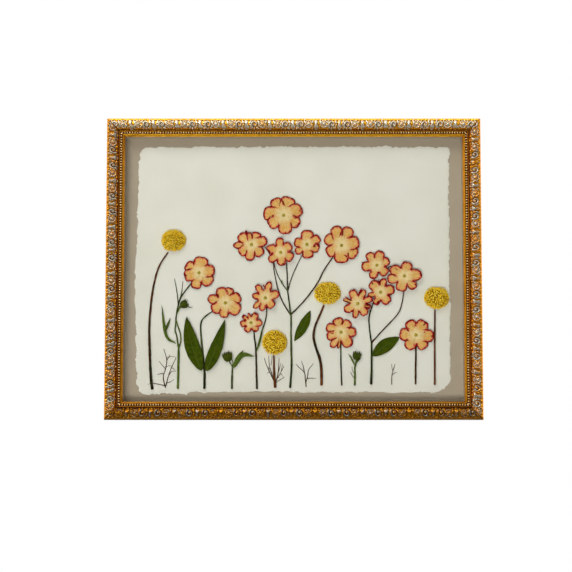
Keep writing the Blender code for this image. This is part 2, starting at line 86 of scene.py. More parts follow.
# The bed of the ornament on it, from the outer side over the cushion to the groove.
ORNAMENT_BED = (
    (0.55, 17.4), (0.45, 19.0), (0.45, 20.2), (0.9, 21.2), (1.9, 21.9), (3.2, 22.8), (4.9, 23.55),
    (6.8, 23.85), (8.7, 23.5), (10.3, 22.5), (11.5, 21.2), (12.05, 19.9),
)
# Which point of the bed is its crest, and about how much of the rail one motif takes up.
BED_PEAK = 7
ORNAMENT_CELL = 8.0
# The line of the beads' middles: in from the outer edge, and forward from the back.
BEAD_INSET = 15.35
BEAD_DEPTH = 20.5
# Painted light per rail: how much brighter or darker its leaf and pewter are painted, and how much more silver
# highlight is painted on it.
RAIL_PAINTED_LIGHT = (("top", 1.4, 0.22), ("bottom", 0.5, -0.3), ("left", 0.9, 0.05), ("right", 1.03, 0.0))

# Flower heads: the eye's place, then each petal from the lowest to the topmost as
# (direction in degrees, length, width, bluntness of its tip, warmth of its colour).
FLOWERS = (
    ((-98, -4.1), ((-42, 17.5, 14.5, 2.2, 0.3), (-104, 17.3, 12.0, 2.4, 0.4), (147, 16.4, 12.8, 2.4, 0.35),
                     (80, 16.8, 15.5, 2.3, 0.45), (10, 16.6, 13.4, 2.1, 0.55), (-166, 15.8, 13.5, 2.6, 0.45))),
    ((-70.5, -35.6), ((72, 16.7, 11.0, 2.4, 0.1), (163, 19.3, 11.0, 2.1, 0.3), (110, 17.5, 12.8, 2.2, 0.4),
                      (25, 17.2, 12.8, 2.3, 0.5), (-150, 16.2, 12.8, 2.2, 0.25), (-32, 17.4, 14.6, 2.4, 0.15),
                      (-96, 15.6, 10.4, 2.1, 0.3))),
    ((-44.1, -56), ((-53, 10.9, 7.6, 2.1, 0.25), (-174, 11.4, 7.2, 2.3, 0.7), (138, 11.6, 4.8, 3.6, 0.95),
                      (105, 10.8, 4.2, 1.4, 0.6), (-118, 10.9, 8.0, 2.2, 0.4), (59, 11.7, 7.8, 2.2, 0.5),
                      (0, 11.9, 8.0, 2.2, 0.4))),
    ((-29.3, -30.5), ((-140, 16.2, 6.4, 1.8, 0.3), (168, 14.6, 7.8, 1.6, 0.9), (124, 16.6, 7.0, 2.6, 0.45),
                      (21, 15.4, 9.2, 1.9, 0.35), (74, 18.2, 7.4, 1.6, 0.35), (-50, 12.8, 9.6, 2.9, 0.5),
                      (-107, 14.4, 7.8, 1.7, 0.45))),
    ((-43.8, 25.2), ((-177, 19.2, 8.8, 1.6, 0.4), (-45, 16.0, 11.6, 2.3, 0.4), (60, 14.6, 10.8, 2.3, 0.35),
                     (142, 16.8, 11.2, 2.3, 0.3), (-141, 15.8, 11.4, 2.3, 0.3), (-97, 17.2, 10.4, 2.3, 0.5),
                     (16, 16.9, 11.6, 2.1, 0.3), (103, 13.2, 6.6, 2.0, 0.75))),
    ((-13.6, 16.8), ((158, 15.8, 10.4, 1.15, 0.75), (-143, 15.4, 9.2, 2.1, 0.3), (-27, 14.4, 10.6, 2.9, 0.45),
                     (94, 15.4, 8.8, 2.8, 0.55), (37, 13.8, 10.8, 2.2, 0.3), (-84, 14.1, 10.0, 2.1, 0.45))),
    ((-10.5, 55.5), ((73, 20.2, 16.2, 2.7, 0.3), (120, 20.7, 14.4, 2.2, 0.4), (22, 20.6, 15.4, 2.1, 0.55),
                     (173, 21.4, 16.2, 2.2, 0.35), (-31, 19.4, 12.6, 2.3, 0.35), (-146, 19.0, 13.8, 2.3, 0.35),
                     (-83, 19.9, 14.8, 2.2, 0.4))),
    ((13.6, 25.2), ((-143, 14.8, 8.6, 2.3, 0.1), (-84, 14.3, 12.2, 2.8, 0.45), (88, 15.2, 13.6, 2.2, 0.35),
                    (-22, 13.8, 10.6, 2.3, 0.35), (168, 13.6, 10.8, 2.2, 1.0), (29, 15.2, 9.8, 2.9, 0.5))),
    ((49.5, 24), ((153, 19.4, 13.4, 2.3, 0.35), (109, 21.6, 13.4, 2.3, 0.4), (66, 21.2, 13.2, 2.3, 0.4),
                    (-152, 17.8, 13.0, 2.3, 0.35), (-34, 19.0, 14.6, 2.3, 0.35), (-91, 18.4, 15.8, 2.2, 0.62),
                    (13, 19.1, 14.6, 2.1, 0.4))),
    ((85.9, 3.5), ((126, 16.0, 10.0, 2.3, 0.2), (23, 14.6, 9.8, 2.3, 0.35), (-174, 16.0, 11.0, 2.3, 0.4),
                   (-110, 15.1, 9.2, 2.2, 0.55), (74, 15.8, 10.8, 2.3, 0.4), (-42, 14.4, 10.6, 2.7, 0.45))),
    ((114.2, -7.8), ((-168, 17.9, 10.8, 2.4, 0.25), (-49, 17.2, 9.4, 2.4, 0.45), (75, 15.2, 12.4, 2.3, 0.4),
                     (147, 16.7, 11.8, 2.3, 0.45), (-106, 16.3, 12.2, 2.7, 0.35), (5, 18.2, 12.8, 1.9, 0.4))),
    ((89.7, -24.4), ((-164, 13.8, 5.8, 3.2, 0.75), (-113, 14.3, 7.6, 2.6, 0.6), (74, 15.2, 8.0, 2.2, 0.3),
                     (133, 14.6, 11.6, 2.5, 0.4), (14, 15.0, 10.8, 2.2, 0.25), (-54, 14.5, 11.2, 2.4, 0.5))),
    ((65.9, -36.4), ((163, 15.6, 4.4, 2.4, 0.3), (-16, 13.9, 6.4, 2.4, 0.9), (20, 16.3, 7.2, 3.2, 0.3),
                     (65, 16.2, 8.0, 2.3, 0.4), (114, 15.8, 9.2, 2.3, 0.3), (-152, 16.0, 9.4, 2.0, 0.3),
                     (-101, 15.5, 7.0, 1.9, 0.45), (-53, 15.0, 9.2, 2.4, 0.35))),
    ((48.7, -65.7), ((-122, 18.6, 8.4, 2.2, 0.15), (106, 15.5, 12.0, 2.3, 0.35), (158, 16.6, 10.6, 2.3, 0.3),
                     (-160, 15.7, 9.8, 2.4, 0.25), (54, 14.9, 10.8, 2.3, 0.35), (0, 16.0, 10.8, 2.3, 0.35),
                     (-58, 17.6, 12.2, 2.3, 0.7), (-99, 17.4, 2.8, 2.0, 0.9))),
    ((125.9, -68.6), ((-54, 17.0, 12.4, 2.4, 0.55), (-122, 17.0, 12.4, 2.4, 0.4), (177, 17.3, 13.8, 2.2, 0.4),
                      (116, 17.0, 12.2, 2.3, 0.35), (-4, 18.8, 13.6, 2.3, 0.45), (57, 17.2, 13.4, 2.7, 0.3))),
)
# Folds of dark red petal edge that lie on a flower: flower, direction, where they start and end, width.
FOLDS = (
    (0, -166, 12.5, 15.7, 1.6), (0, -172, 14.2, 16.0, 2.4), (1, 135, 9.0, 14.5, 1.4), (2, 141, 9.2, 11.8, 3.4),
    (3, 98, 10.5, 14.5, 1.3), (4, 112, 11.5, 16.0, 2.6), (4, 92, 9.2, 12.8, 1.6), (5, -77, 11.0, 13.6, 1.8),
    (6, 17, 16.2, 20.2, 1.2), (6, -40, 16.0, 17.5, 1.2), (7, -14, 6.6, 9.4, 2.2), (8, 86, 9.5, 18.0, 1.5),
    (9, 170, 13.0, 16.0, 1.4), (10, 138, 9.0, 13.0, 0.7), (10, -38, 13.5, 17.0, 1.4), (11, 98, 6.5, 14.0, 1.4),
    (11, -106, 9.0, 13.6, 2.2), (11, 132, 11.0, 13.6, 1.2), (12, 77, 9.5, 16.4, 2.9), (12, -8, 7.5, 14.0, 1.7),
    (12, -22, 8.0, 13.6, 1.5), (12, 170, 8.0, 15.6, 1.2), (12, 152, 9.5, 15.2, 1.3), (13, -104, 9.5, 17.8, 1.3),
    (14, 52, 12.0, 15.6, 1.2), (14, -3, 15.2, 18.6, 1.1),
)

# Billy button heads: middle, half width, half height, then any dents as (direction, depth, spread).
BALLS = (
    ((-124.6, 29.3), 12.4, 11.0, ((-75, 0.03, 25),)),
    ((-19.7, -76.3), 12.4, 12.3, ()),
    ((34.9, -25.4), 13.5, 11.1, ((-100, 0.04, 22),)),
    ((147.6, -30.1), 12.6, 11.4, ((92, 0.13, 17), (-118, 0.08, 20), (20, 0.03, 18))),
)

# Stems: each branch is its radius at the foot and at the tip, its colour at both (0 brown, 0.5 near
# black, 1 green) and the points that it runs through, from its foot up.
STEMS = (
    ((1.35, 0.75, 0.5, 0.15, ((-145.5, -124.2), (-147.1, -110.4), (-148.3, -89.5), (-149.1, -65.7), (-148.3, -44.8),
                              (-145.1, -18.3), (-139.3, 2.7), (-130.5, 16.8))),),
    ((1.3, 1.15, 0.9, 0.85, ((-119.2, -123.6), (-118.9, -104.8), (-118.6, -78.6))),
     (0.75, 0.7, 0.9, 0.6, ((-119.3, -80.5), (-120.7, -69.6), (-122.4, -64.2), (-121.9, -57.7), (-121.4, -49.2),
                            (-120, -40.7), (-116.1, -28.8), (-105.7, -14.7))),
     (0.7, 0.6, 0.9, 0.9, ((-117.9, -80.5), (-116.5, -73.6), (-117.2, -66.6), (-119.8, -58.7), (-121.1, -53.7))),
     (0.6, 0.35, 0.7, 0.6, ((-121.2, -45.7), (-118.5, -41.7), (-115.5, -39.7))),
     (0.5, 0.2, 0.9, 0.5, ((-109.5, -39.2), (-107, -40), (-104.5, -39.3))),
     (0.6, 0.25, 0.8, 0.5, ((-119.3, -37.7), (-120.6, -25.8), (-123.3, -10.3))),
     (0.55, 0.25, 0.8, 0.6, ((-118.9, -34.8), (-116.1, -24.8), (-114.7, -12.8)))),
    ((1.25, 0.6, 0.55, 0.75, ((-91.9, -123.6), (-92.1, -104.8), (-95.3, -73), (-95.9, -57.1), (-91.5, -49.6),
                              (-81.6, -42.6))),),
    ((1.0, 0.8, 0.55, 0.85, ((-63.7, -124), (-63.3, -102.7), (-63.1, -99.3))),
     (0.6, 0.5, 0.85, 0.8, ((-63.3, -101.2), (-65.3, -97.8), (-66.8, -94.8))),
     (0.5, 0.4, 0.85, 0.8, ((-62.9, -100.3), (-62.6, -96.3), (-63.9, -92.8)))),
    ((1.05, 0.8, 0.45, 0.5, ((-37.9, -123.9), (-39.1, -83.8), (-40.6, -71.4), (-41.2, -63.5))),
     (0.9, 0.55, 0.85, 0.5, ((-38.9, -85.3), (-35.6, -77.4), (-33.2, -65.9), (-28.8, -51.5), (-27.8, -39.5)))),
    ((1.35, 0.8, 0.25, 0.1, ((-19.1, -122.4), (-20.1, -108.1), (-20.5, -89.7))),),
    ((1.15, 0.85, 0.6, 0.8, ((-3.7, -122.9), (-2.3, -100.1), (-2.8, -75.3), (-2.9, -47.4))),
     (0.8, 0.6, 0.75, 0.45, ((-2.9, -48.4), (-5.4, -30), (-6.5, -21.5), (-6.8, -7.5), (-7.5, 6.5))),
     (0.62, 0.45, 0.4, 0.35, ((-3.3, -47.9), (-11.4, -34.5), (-16.4, -21), (-20.5, -1.5), (-21, 5.5),
                              (-25, 15.5), (-30.1, 22.5))),
     (0.72, 0.6, 0.45, 0.3, ((-2.7, -47), (7, -37.5), (17.5, -24.9), (25.5, -12.9), (31.4, -1.4),
                             (40.9, 12.7))),
     (0.55, 0.4, 0.45, 0.4, ((-6.1, -23), (-4, -14.5), (0.5, -2.5), (8.4, 13.6))),
     (0.5, 0.35, 0.6, 0.4, ((-6.5, -22.5), (-11.5, -16), (-17.5, -4.5), (-21, 7.5)))),
    ((1.45, 1.25, 0.12, 0.5, ((28.5, -120.3), (28.5, -109), (28.3, -102.5), (27, -94.1), (23.5, -83.7))),
     (1.28, 1.0, 0.5, 0.1, ((24.2, -85.7), (23.5, -83.7), (20.5, -71.3), (22, -59.8), (26.5, -48.9),
                            (31.2, -37.9)))),
    ((0.8, 0.75, 0.5, 0.7, ((49.3, -120.3), (48.4, -96), (48.4, -75.2))),),
    ((0.95, 0.75, 0.85, 0.9, ((62.7, -120.2), (62.9, -108.9), (62.8, -102.4))),
     (0.85, 0.7, 0.9, 0.85, ((62.8, -102.9), (63.8, -98), (64.4, -93))),
     (0.35, 0.2, 0.4, 0.3, ((62.3, -112.8), (59.8, -109.9), (58.3, -106.4))),
     (0.3, 0.2, 0.4, 0.3, ((62.4, -107.9), (60.3, -104.4), (60, -101)))),
    ((1.2, 0.95, 0.55, 0.7, ((79.6, -119.2), (80.1, -101.9), (80.2, -76.6))),
     (0.85, 0.7, 0.65, 0.45, ((80.2, -77.6), (78.2, -63.2), (77.8, -49.3), (82.8, -33.3))),
     (0.75, 0.55, 0.35, 0.4, ((80, -76.6), (93.2, -62.2), (104.6, -50.2), (110.6, -40.2), (114.7, -19.2))),
     (0.6, 0.5, 0.5, 0.5, ((97.3, 0.3), (99.8, 2.4), (103.3, 2)))),
    ((0.95, 0.85, 0.35, 0.45, ((125.2, -119.1), (125.9, -79))),),
    ((1.0, 0.85, 0.15, 0.2, ((145, -119.6), (145.3, -74), (145.8, -42.6))),),
)
# Narrow green blades that grow on a stem: stem, foot, middle, tip, width.
BLADES = (
    (1, (-121.1, -77.6), (-131.6, -68.7), (-136.4, -37.8), 3.0),
    (1, (-132.7, -65.7), (-130.2, -58.7), (-127.1, -50.7), 2.6),
    (1, (-120.4, -46.7), (-117.5, -39.2), (-113.1, -32.2), 1.6),
    (3, (-61.9, -102.7), (-53.4, -89.6), (-40.6, -90.6), 5.2),
    (3, (-62.1, -102.2), (-57.4, -92.3), (-52, -84.3), 4.4),
    (4, (-38.4, -85.3), (-35.8, -77.4), (-31.3, -59.5), 2.4),
    (6, (-11.6, -16.5), (-12.4, -14.1), (-12.2, -11.5), 1.6),
    (9, (62.4, -99.5), (59.3, -92.5), (56, -87.9), 1.8),
    (9, (63.2, -98.5), (66.2, -95), (69.3, -92.5), 1.5),
)
# Leaves: foot, tip, width, how far the midrib bows, and how far along it is widest.
LEAVES = (
    ((-94.8, -105.2), (-110.7, -50.2), 15.6, 2.4, 0.42),
    ((-89.8, -105.4), (-71.0, -53.1), 13.0, -1.4, 0.35),
    ((0.6, -74.8), (17.2, -43.4), 10.2, -1.0, 0.5),
    ((80.9, -90.2), (109, -70.9), 13.6, 1.2, 0.48),
)
# Buds: middle, length, width and direction of growth in degrees.
BUDS = (
    ((-113, -36.9), 9.0, 8.6, 20),
    ((-68.1, -90.8), 11.0, 10.2, 104),
    ((65, -89.8), 9.4, 9.2, 78),
)
# Bare twigs by the stems' feet: the radius, then the points.
TWIGS = (
    ((0.5, ((-132.1, -122.7), (-134.2, -112.3), (-132.3, -104.4), (-130.9, -94), (-134, -83.1))),
     (0.45, ((-131.6, -121.2), (-128.8, -110.3), (-125.9, -101.9), (-122, -93.5), (-121.3, -91.5))),
     (0.4, ((-132, -120.7), (-143.6, -118.3), (-150, -119.1))),
     (0.35, ((-133.2, -108.3), (-137.2, -108.5), (-140.5, -109.5))),
     (0.35, ((-132, -103.4), (-135.3, -99.9), (-138.8, -95.5))),
     (0.35, ((-128.6, -109.8), (-125.3, -106.1), (-121.1, -105.6))),
     (0.3, ((-126, -102.4), (-123.9, -102.8), (-122.5, -104))),
     (0.3, ((-131, -118), (-126.2, -116.4), (-123.1, -114.1))),
     (0.28, ((-131.1, -95), (-128.4, -91), (-128, -88.5))),
     (0.28, ((-130.8, -92.5), (-127.2, -90.6), (-122.4, -90.9))),
     (0.26, ((-130.9, -101.2), (-127.9, -100.1), (-125.2, -100.9)))),
    ((0.5, ((-18.6, -119.4), (-23.6, -109.1), (-28.1, -99.2), (-30.4, -92.4))),
     (0.4, ((-19.6, -116), (-24.6, -102.1), (-25.9, -89.9))),
     (0.45, ((-18.6, -118), (-16.1, -107.1), (-15.2, -92.2))),
     (0.4, ((-18.2, -115.5), (-13.2, -106.6), (-9.9, -100.7))),
     (0.35, ((-18.4, -117.5), (-13.6, -114.2), (-9.5, -111.8))),
     (0.3, ((-24.9, -106.6), (-26.4, -107.3), (-27.8, -108.5))),
     (0.3, ((-22.4, -107.6), (-24.6, -103.6), (-27.3, -100.9))),
     (0.3, ((-23.4, -99.6), (-22.9, -94.6), (-22.3, -89.9))),
     (0.28, ((-16.6, -109.3), (-14.6, -102.6), (-13.0, -97.2))),
     (0.28, ((-12.9, -106.0), (-12.2, -101.6), (-11.2, -98.4))),
     (0.26, ((-14.0, -108.2), (-11.9, -109.9), (-10.2, -112.2)))),
    ((0.5, ((12.7, -122), (11.8, -113.9), (11.1, -107.5), (6.2, -102.6), (2.4, -98.7))),
     (0.4, ((10.9, -107), (9.7, -100.6), (7.9, -95.3))),
     (0.45, ((12.4, -117.4), (14.3, -110.5), (15.3, -104.5), (20.3, -97.7))),
     (0.35, ((13.7, -113.4), (17.6, -112.9), (22.9, -113.2)))),
    ((0.45, ((100.8, -119.5), (100.9, -110.8), (102.6, -103.8), (104.3, -98.5))),
     (0.35, ((102.1, -105.3), (101.1, -101.9), (100.8, -98.4))),
     (0.35, ((101.2, -109.8), (103.6, -107.8), (106.2, -107)))),
)

PETAL_RINGS = (1.0, 0.965, 0.925, 0.87, 0.79, 0.66, 0.48, 0.25)


class Shells:
    """The closed shells of one piece, gathered one by one: their points in metres and named values."""

    def __init__(self, *value_names):
        self.points = []
        self.faces = []
        self.flat = []
        self.values = {name: [] for name in value_names}

    def add(self, points, faces, flat=(), **values):
        points = np.asarray(points, float)
        if signed_volume(points, faces) < 0:
            faces = [tuple(reversed(face)) for face in faces]
        start = sum(len(block) for block in self.points)
        self.flat.extend(len(self.faces) + index for index in flat)
        self.faces.extend(tuple(corner + start for corner in face) for face in faces)
        self.points.append(points)
        for name, gathered in self.values.items():
            gathered.append(np.broadcast_to(np.asarray(values.get(name, 0.0), float), len(points)))

    def piece(self, name, material, slot, *nodes, sharp_angle=None):
        mesh = bpy.data.meshes.new(name)
        mesh.from_pydata(np.concatenate(self.points).tolist(), [], self.faces)
        for value_name, gathered in self.values.items():
            attribute = mesh.attributes.new(value_name, "FLOAT", "POINT")
            attribute.data.foreach_set("value", np.concatenate(gathered).astype(np.float32))
        smooth = np.ones(len(mesh.polygons), bool)
        smooth[list(self.flat)] = False
        mesh.polygons.foreach_set("use_smooth", smooth)
        if sharp_angle:
            mesh.set_sharp_from_angle(angle=math.radians(sharp_angle))
        return keep(mesh, name, material, slot, *nodes)


def signed_volume(points, faces):
    total = 0.0
    for size in {len(face) for face in faces}:
        group = np.array([face for face in faces if len(face) == size])
        first = points[group[:, 0]]
        for corner in range(1, size - 1):
            crossed = np.cross(points[group[:, corner]], points[group[:, corner + 1]])
            total += np.einsum("ij,ij->", first, crossed)
    return total


def keep(mesh, name, material, slot, *nodes):
    """Put a finished mesh in the scene as a piece that stands for its solids."""
    mesh.name = name
    mesh.materials.clear()
    mesh.materials.append(material)
    obj = bpy.data.objects.new(name, mesh)
    bpy.context.scene.collection.objects.link(obj)
    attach(obj, "root")
    if nodes:
        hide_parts(*nodes)
    return obj


def paint_solid(node, material):
    """Give a solid that is shown as it is its own finish."""
    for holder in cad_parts[node].material_slots:
        holder.link = "OBJECT"
        holder.material = material


def smoothstep(low, high, value):
    share = np.clip((value - low) / (high - low), 0, 1)
    return share * share * (3 - 2 * share)


def on_sheet(x, z, depth):
    """Points in metres from places on the sheet and depths, in millimetres."""
    x, z, depth = np.broadcast_arrays(np.asarray(x, float), z, depth)
    return np.stack([x * MM, -depth * MM, CENTRE_Z + z * MM], -1)


def on_rail(side, along, inset, depth):
    """Points of a rail in metres: along it from its middle, in from its outer edge, forward from its back."""
    along, inset, depth = np.broadcast_arrays(np.asarray(along, float), inset, depth)
    along, inset, depth = along * MM, inset * MM, -depth * MM
    if side == "top":
        return np.stack([along, depth, TOP - inset], -1)
    if side == "bottom":
        return np.stack([along, depth, BOTTOM + inset], -1)
    if side == "left":
        return np.stack([LEFT + inset, depth, CENTRE_Z + along], -1)
    return np.stack([RIGHT - inset, depth, CENTRE_Z + along], -1)


def rail_half(side):
    return (HALF_WIDTH if side in ("top", "bottom") else HALF_HEIGHT) / MM


def strip_faces(rows, columns, closed_columns=False):
    """Quads between the points of a grid that is stored row by row."""
    faces = []
    for row in range(rows - 1):
        for column in range(columns if closed_columns else columns - 1):
            below, right = (row + 1) % rows, (column + 1) % columns
            faces.append((row * columns + column, row * columns + right,
                          below * columns + right, below * columns + column))
    return faces


def bar_faces(rows, columns):
    """The sides of a bar whose section has columns points, then its two ends and which faces they are."""
    sides = strip_faces(rows, columns, closed_columns=True)
    ends = [tuple(range(columns)), tuple((rows - 1) * columns + k for k in reversed(range(columns)))]
    return sides + ends, (len(sides), len(sides) + 1)


def dome_faces(rings, around):
    """A dome from the point on its crown, down its rings, to the point under it."""
    faces = [(0, 1 + k, 1 + (k + 1) % around) for k in range(around)]
    for ring in range(rings - 1):
        start = 1 + ring * around
        faces += [(start + k, start + around + k, start + around + (k + 1) % around, start + (k + 1) % around)
                  for k in range(around)]
    last = 1 + (rings - 1) * around
    faces += [(last + (k + 1) % around, last + k, last + around) for k in range(around)]
    return faces


def smooth_line(points, step):
    """A Catmull-Rom curve through the points, sampled about every step."""
    points = np.asarray(points, float)
    padded = np.vstack([2 * points[0] - points[1], points, 2 * points[-1] - points[-2]])
    line = []
    for index in range(len(points) - 1):
        a, b, c, d = padded[index:index + 4]
        count = max(2, int(math.ceil(np.linalg.norm(c[:2] - b[:2]) / step)))
        for part in range(count):
            t = part / count
            line.append(0.5 * (2 * b + (c - a) * t + (2 * a - 5 * b + 4 * c - d) * t * t
                               + (3 * b - a - 3 * c + d) * t ** 3))
    line.append(points[-1])
    return np.array(line)


def wander(length, seed, scale):
    """Smooth noise along a line, one value for each distance in length."""
    return np.array([noise.noise(Vector((value / scale, seed * 7.31, 0.5))) for value in length])


# Finishes


def grow(tree, kind, inputs=(), **settings):
    """Add a node and feed its inputs with values or with other nodes' sockets."""
    made = tree.nodes.new(kind)
    for name, value in settings.items():
        setattr(made, name, value)
    for key, value in dict(inputs).items():
        if isinstance(value, bpy.types.NodeSocket):
            tree.links.new(value, made.inputs[key])
        else:
            made.inputs[key].default_value = value
    return made


def reckon(tree, operation, *values):
    """One operation on numbers or on other nodes' sockets."""
    return grow(tree, "ShaderNodeMath", dict(enumerate(values)), operation=operation).outputs[0]


def ranged(tree, value, low, high, start, end):
    """A value between low and high, brought to between start and end."""
    return grow(tree, "ShaderNodeMapRange", {"Value": value, "From Min": low, "From Max": high,
                                             "To Min": start, "To Max": end}).outputs[0]


class Finish:
    """A material and the nodes that feed its shader."""

    def __init__(self, name, roughness=0.6, metallic=0.0):
        self.material = bpy.data.materials.new(name)
        self.material.use_nodes = True
        self.tree = self.material.node_tree
        self.shader = self.tree.nodes["Principled BSDF"]
        self.shader.inputs["Roughness"].default_value = roughness
        self.shader.inputs["Metallic"].default_value = metallic

    def node(self, kind, inputs=(), **settings):
        return grow(self.tree, kind, inputs, **settings)

    def shade(self, **inputs):
        for name, value in inputs.items():
            self.tree.links.new(value, self.shader.inputs[name.replace("_", " ")])

    def place(self, scale=(1, 1, 1)):
        """The point on the object in millimetres, stretched by scale."""
        coordinates = self.node("ShaderNodeTexCoord").outputs["Object"]
        stretch = tuple(part / MM for part in scale)
        return self.node("ShaderNodeMapping", {"Vector": coordinates, "Scale": stretch}).outputs["Vector"]

    def value(self, name):
        return self.node("ShaderNodeAttribute", attribute_name=name).outputs["Fac"]

    def speckle(self, size, detail=3.0, roughness=0.55, scale=(1, 1, 1)):
        """Noise whose features are about size millimetres across."""
        return self.node("ShaderNodeTexNoise", {"Vector": self.place(scale), "Scale": 1 / size,
                                                "Detail": detail, "Roughness": roughness}).outputs["Fac"]

    def ramp(self, value, *stops):
        """A colour ramp from (position, colour) stops."""
        made = self.node("ShaderNodeValToRGB", {"Fac": value})
        elements = made.color_ramp.elements
        while len(elements) < len(stops):
            elements.new(0.5)
        for element, (position, colour) in zip(elements, stops):
            element.position = position
            element.color = (*colour[:3], 1)
        return made.outputs["Color"]

    def span(self, value, low, high, start=0.0, end=1.0):
        return ranged(self.tree, value, low, high, start, end)

    def maths(self, operation, *values):
        return reckon(self.tree, operation, *values)

    def mix(self, share, first, second, blend="MIX"):
        made = self.node("ShaderNodeMix", data_type="RGBA", blend_type=blend)
        for socket, value in zip((made.inputs[0], made.inputs[6], made.inputs[7]), (share, first, second)):
            if isinstance(value, bpy.types.NodeSocket):
                self.tree.links.new(value, socket)
            elif socket == made.inputs[0]:
                socket.default_value = value
            else:
                socket.default_value = (*value[:3], 1)
        return made.outputs[2]

    def bump(self, height, distance, strength=1.0):
        """Relief in the shading alone, its depth in millimetres."""
        made = self.node("ShaderNodeBump", {"Height": height, "Distance": distance * MM,
                                            "Strength": strength})
        self.shade(Normal=made.outputs["Normal"])


def gilding(name, tone, rail_silver_painted_light):
    """Gold leaf over red bole on an umber ground, rubbed with pewter on the ornament's high parts; tone and the
    silver shift paint the rail's own light and shade.
    """
    look = bpy.context.scene.flower_frame
    finish = Finish(name)
    # Painted light: tone paints this rail's gold and pewter brighter or darker, brighter on the top rail and darker
    # on the bottom.
    bright_gold = tuple(min(0.98, tone * part) for part in look.gold)
    pewter = tuple(min(0.98, tone * part) for part in look.pewter)
    leaf = finish.value("leaf")
    wear = finish.speckle(1.3, 4.0, 0.65)
    broad = finish.speckle(6.0, 2.0)
    worn = finish.maths("ADD", leaf, finish.span(wear, 0.3, 0.7, -0.2, 0.14))
    deep_gold = tuple(part * 0.45 for part in bright_gold)
    gold = finish.mix(finish.span(broad, 0.35, 0.65), bright_gold, tuple(0.72 * part for part in bright_gold))
    ground = finish.ramp(worn, (0.04, look.umber), (0.2, look.bole), (0.42, deep_gold), (0.78, bright_gold))
    colour = finish.mix(finish.span(worn, 0.75, 1.0), ground, gold)
    rub = finish.value("rub")
    # Painted highlight: the rail's silver shift paints more pewter on the lit top rail and less on the shaded
    # bottom rail.
    patches = finish.maths("ADD", rub, finish.span(broad, 0.3, 0.7, rail_silver_painted_light - 0.45, rail_silver_painted_light + 0.4))
    patches = finish.maths("ADD", patches, finish.span(wear, 0.3, 0.7, -0.25, 0.2))
    silvered = finish.maths("MULTIPLY", finish.span(patches, 0.2, 0.5), finish.span(rub, 0.02, 0.2))
    colour = finish.mix(silvered, colour, pewter)
    finish.shade(Base_Color=colour)
    metal = finish.span(worn, 0.2, 0.7, 0.2, 0.96)
    finish.shade(Metallic=finish.maths("MULTIPLY", metal, finish.span(silvered, 0.0, 1.0, 1.0, 0.92)))
    finish.shade(Roughness=finish.span(finish.speckle(0.9, 3.0), 0.3, 0.7, 0.24, 0.42))
    finish.shader.inputs["Specular IOR Level"].default_value = 0.3
    finish.bump(finish.speckle(0.45, 3.0), 0.05, 0.4)
    return finish.material


def bead_gilding_with_painted_light():
    """Bole and umber between the beads, gold left on their crowns; the darkening between them is partly painted
    shade and the cream at their tops is a painted highlight.
    """
    look = bpy.context.scene.flower_frame
    finish = Finish("bead_gilding_with_painted_light")
    crown = finish.maths("ADD", finish.value("crown"), finish.span(finish.speckle(1.6), 0.3, 0.7, -0.2, 0.2))
    # Painted light: each bead is painted dark low down and cream at its most forward point.
    finish.shade(Base_Color=finish.ramp(crown, (0.15, look.umber), (0.45, look.bole),
                                        (0.72, tuple(0.8 * part for part in look.gold)),
                                        (0.98, (0.80, 0.60, 0.32))))
    finish.shade(Metallic=finish.span(crown, 0.2, 0.8, 0.2, 0.8))
    finish.shader.inputs["Roughness"].default_value = 0.36
    return finish.material


def picture_glass():
    """Clear glass that lets the lamps' light through to the sheet."""
    finish = Finish("picture_glass", 0.0)
    glass = finish.shader
    glass.inputs["Transmission Weight"].default_value = 1.0
    glass.inputs["IOR"].default_value = 1.45
    glass.inputs["Base Color"].default_value = (1, 1, 1, 1)
    glass.inputs["Specular IOR Level"].default_value = 0.12
    rays = finish.node("ShaderNodeLightPath").outputs
    passing = finish.maths("MAXIMUM", rays["Is Shadow Ray"], rays["Is Diffuse Ray"])
    clear = finish.node("ShaderNodeBsdfTransparent")
    mixed = finish.node("ShaderNodeMixShader", {0: passing, 1: glass.outputs[0], 2: clear.outputs[0]})
    output = next(node for node in finish.tree.nodes if node.type == "OUTPUT_MATERIAL")
    finish.tree.links.new(mixed.outputs[0], output.inputs["Surface"])
    return finish.material


def handmade_paper():
    """Cotton paper with felt marks and a few fibres."""
    look = bpy.context.scene.flower_sheet
    finish = Finish("handmade_paper", 0.85)
    cloud = finish.speckle(46.0, 3.0)
    colour = finish.mix(finish.span(cloud, 0.35, 0.65), look.paper, tuple(
        part * factor for part, factor in zip(look.paper, (0.95, 0.955, 0.93))))
    fibre = finish.speckle(2.2, 4.0, 0.6, (0.35, 1, 1))
    colour = finish.mix(finish.span(fibre, 0.62, 0.72, 0.0, 0.10), colour, (0.42, 0.37, 0.25))
    finish.shade(Base_Color=colour)
    finish.shader.inputs["Specular IOR Level"].default_value = 0.2
    felt = finish.maths("ADD", finish.maths("MULTIPLY", finish.speckle(3.0, 3.0, 0.5, (0.2, 1, 1)), 0.5),
                        finish.maths("MULTIPLY", finish.speckle(16.0, 3.0, 0.5, (0.35, 1, 1)), 3.0))
    finish.bump(felt, 0.10, 0.09)
    return finish.material


def board(name, colour, fleck, grain):
    """Matt board: pressed fibres with a few darker flecks."""
    finish = Finish(name, 0.9)
    fibres = finish.speckle(grain, 5.0, 0.7)
    base = finish.mix(finish.span(finish.speckle(30.0), 0.3, 0.7, 0.0, 0.5), colour,
                      tuple(0.88 * part for part in colour))
    finish.shade(Base_Color=finish.mix(finish.span(fibres, 0.5, 0.72, 0.0, 0.4), base, fleck))
    finish.shader.inputs["Specular IOR Level"].default_value = 0.25
    finish.bump(fibres, 0.08, 0.5)
    return finish.material


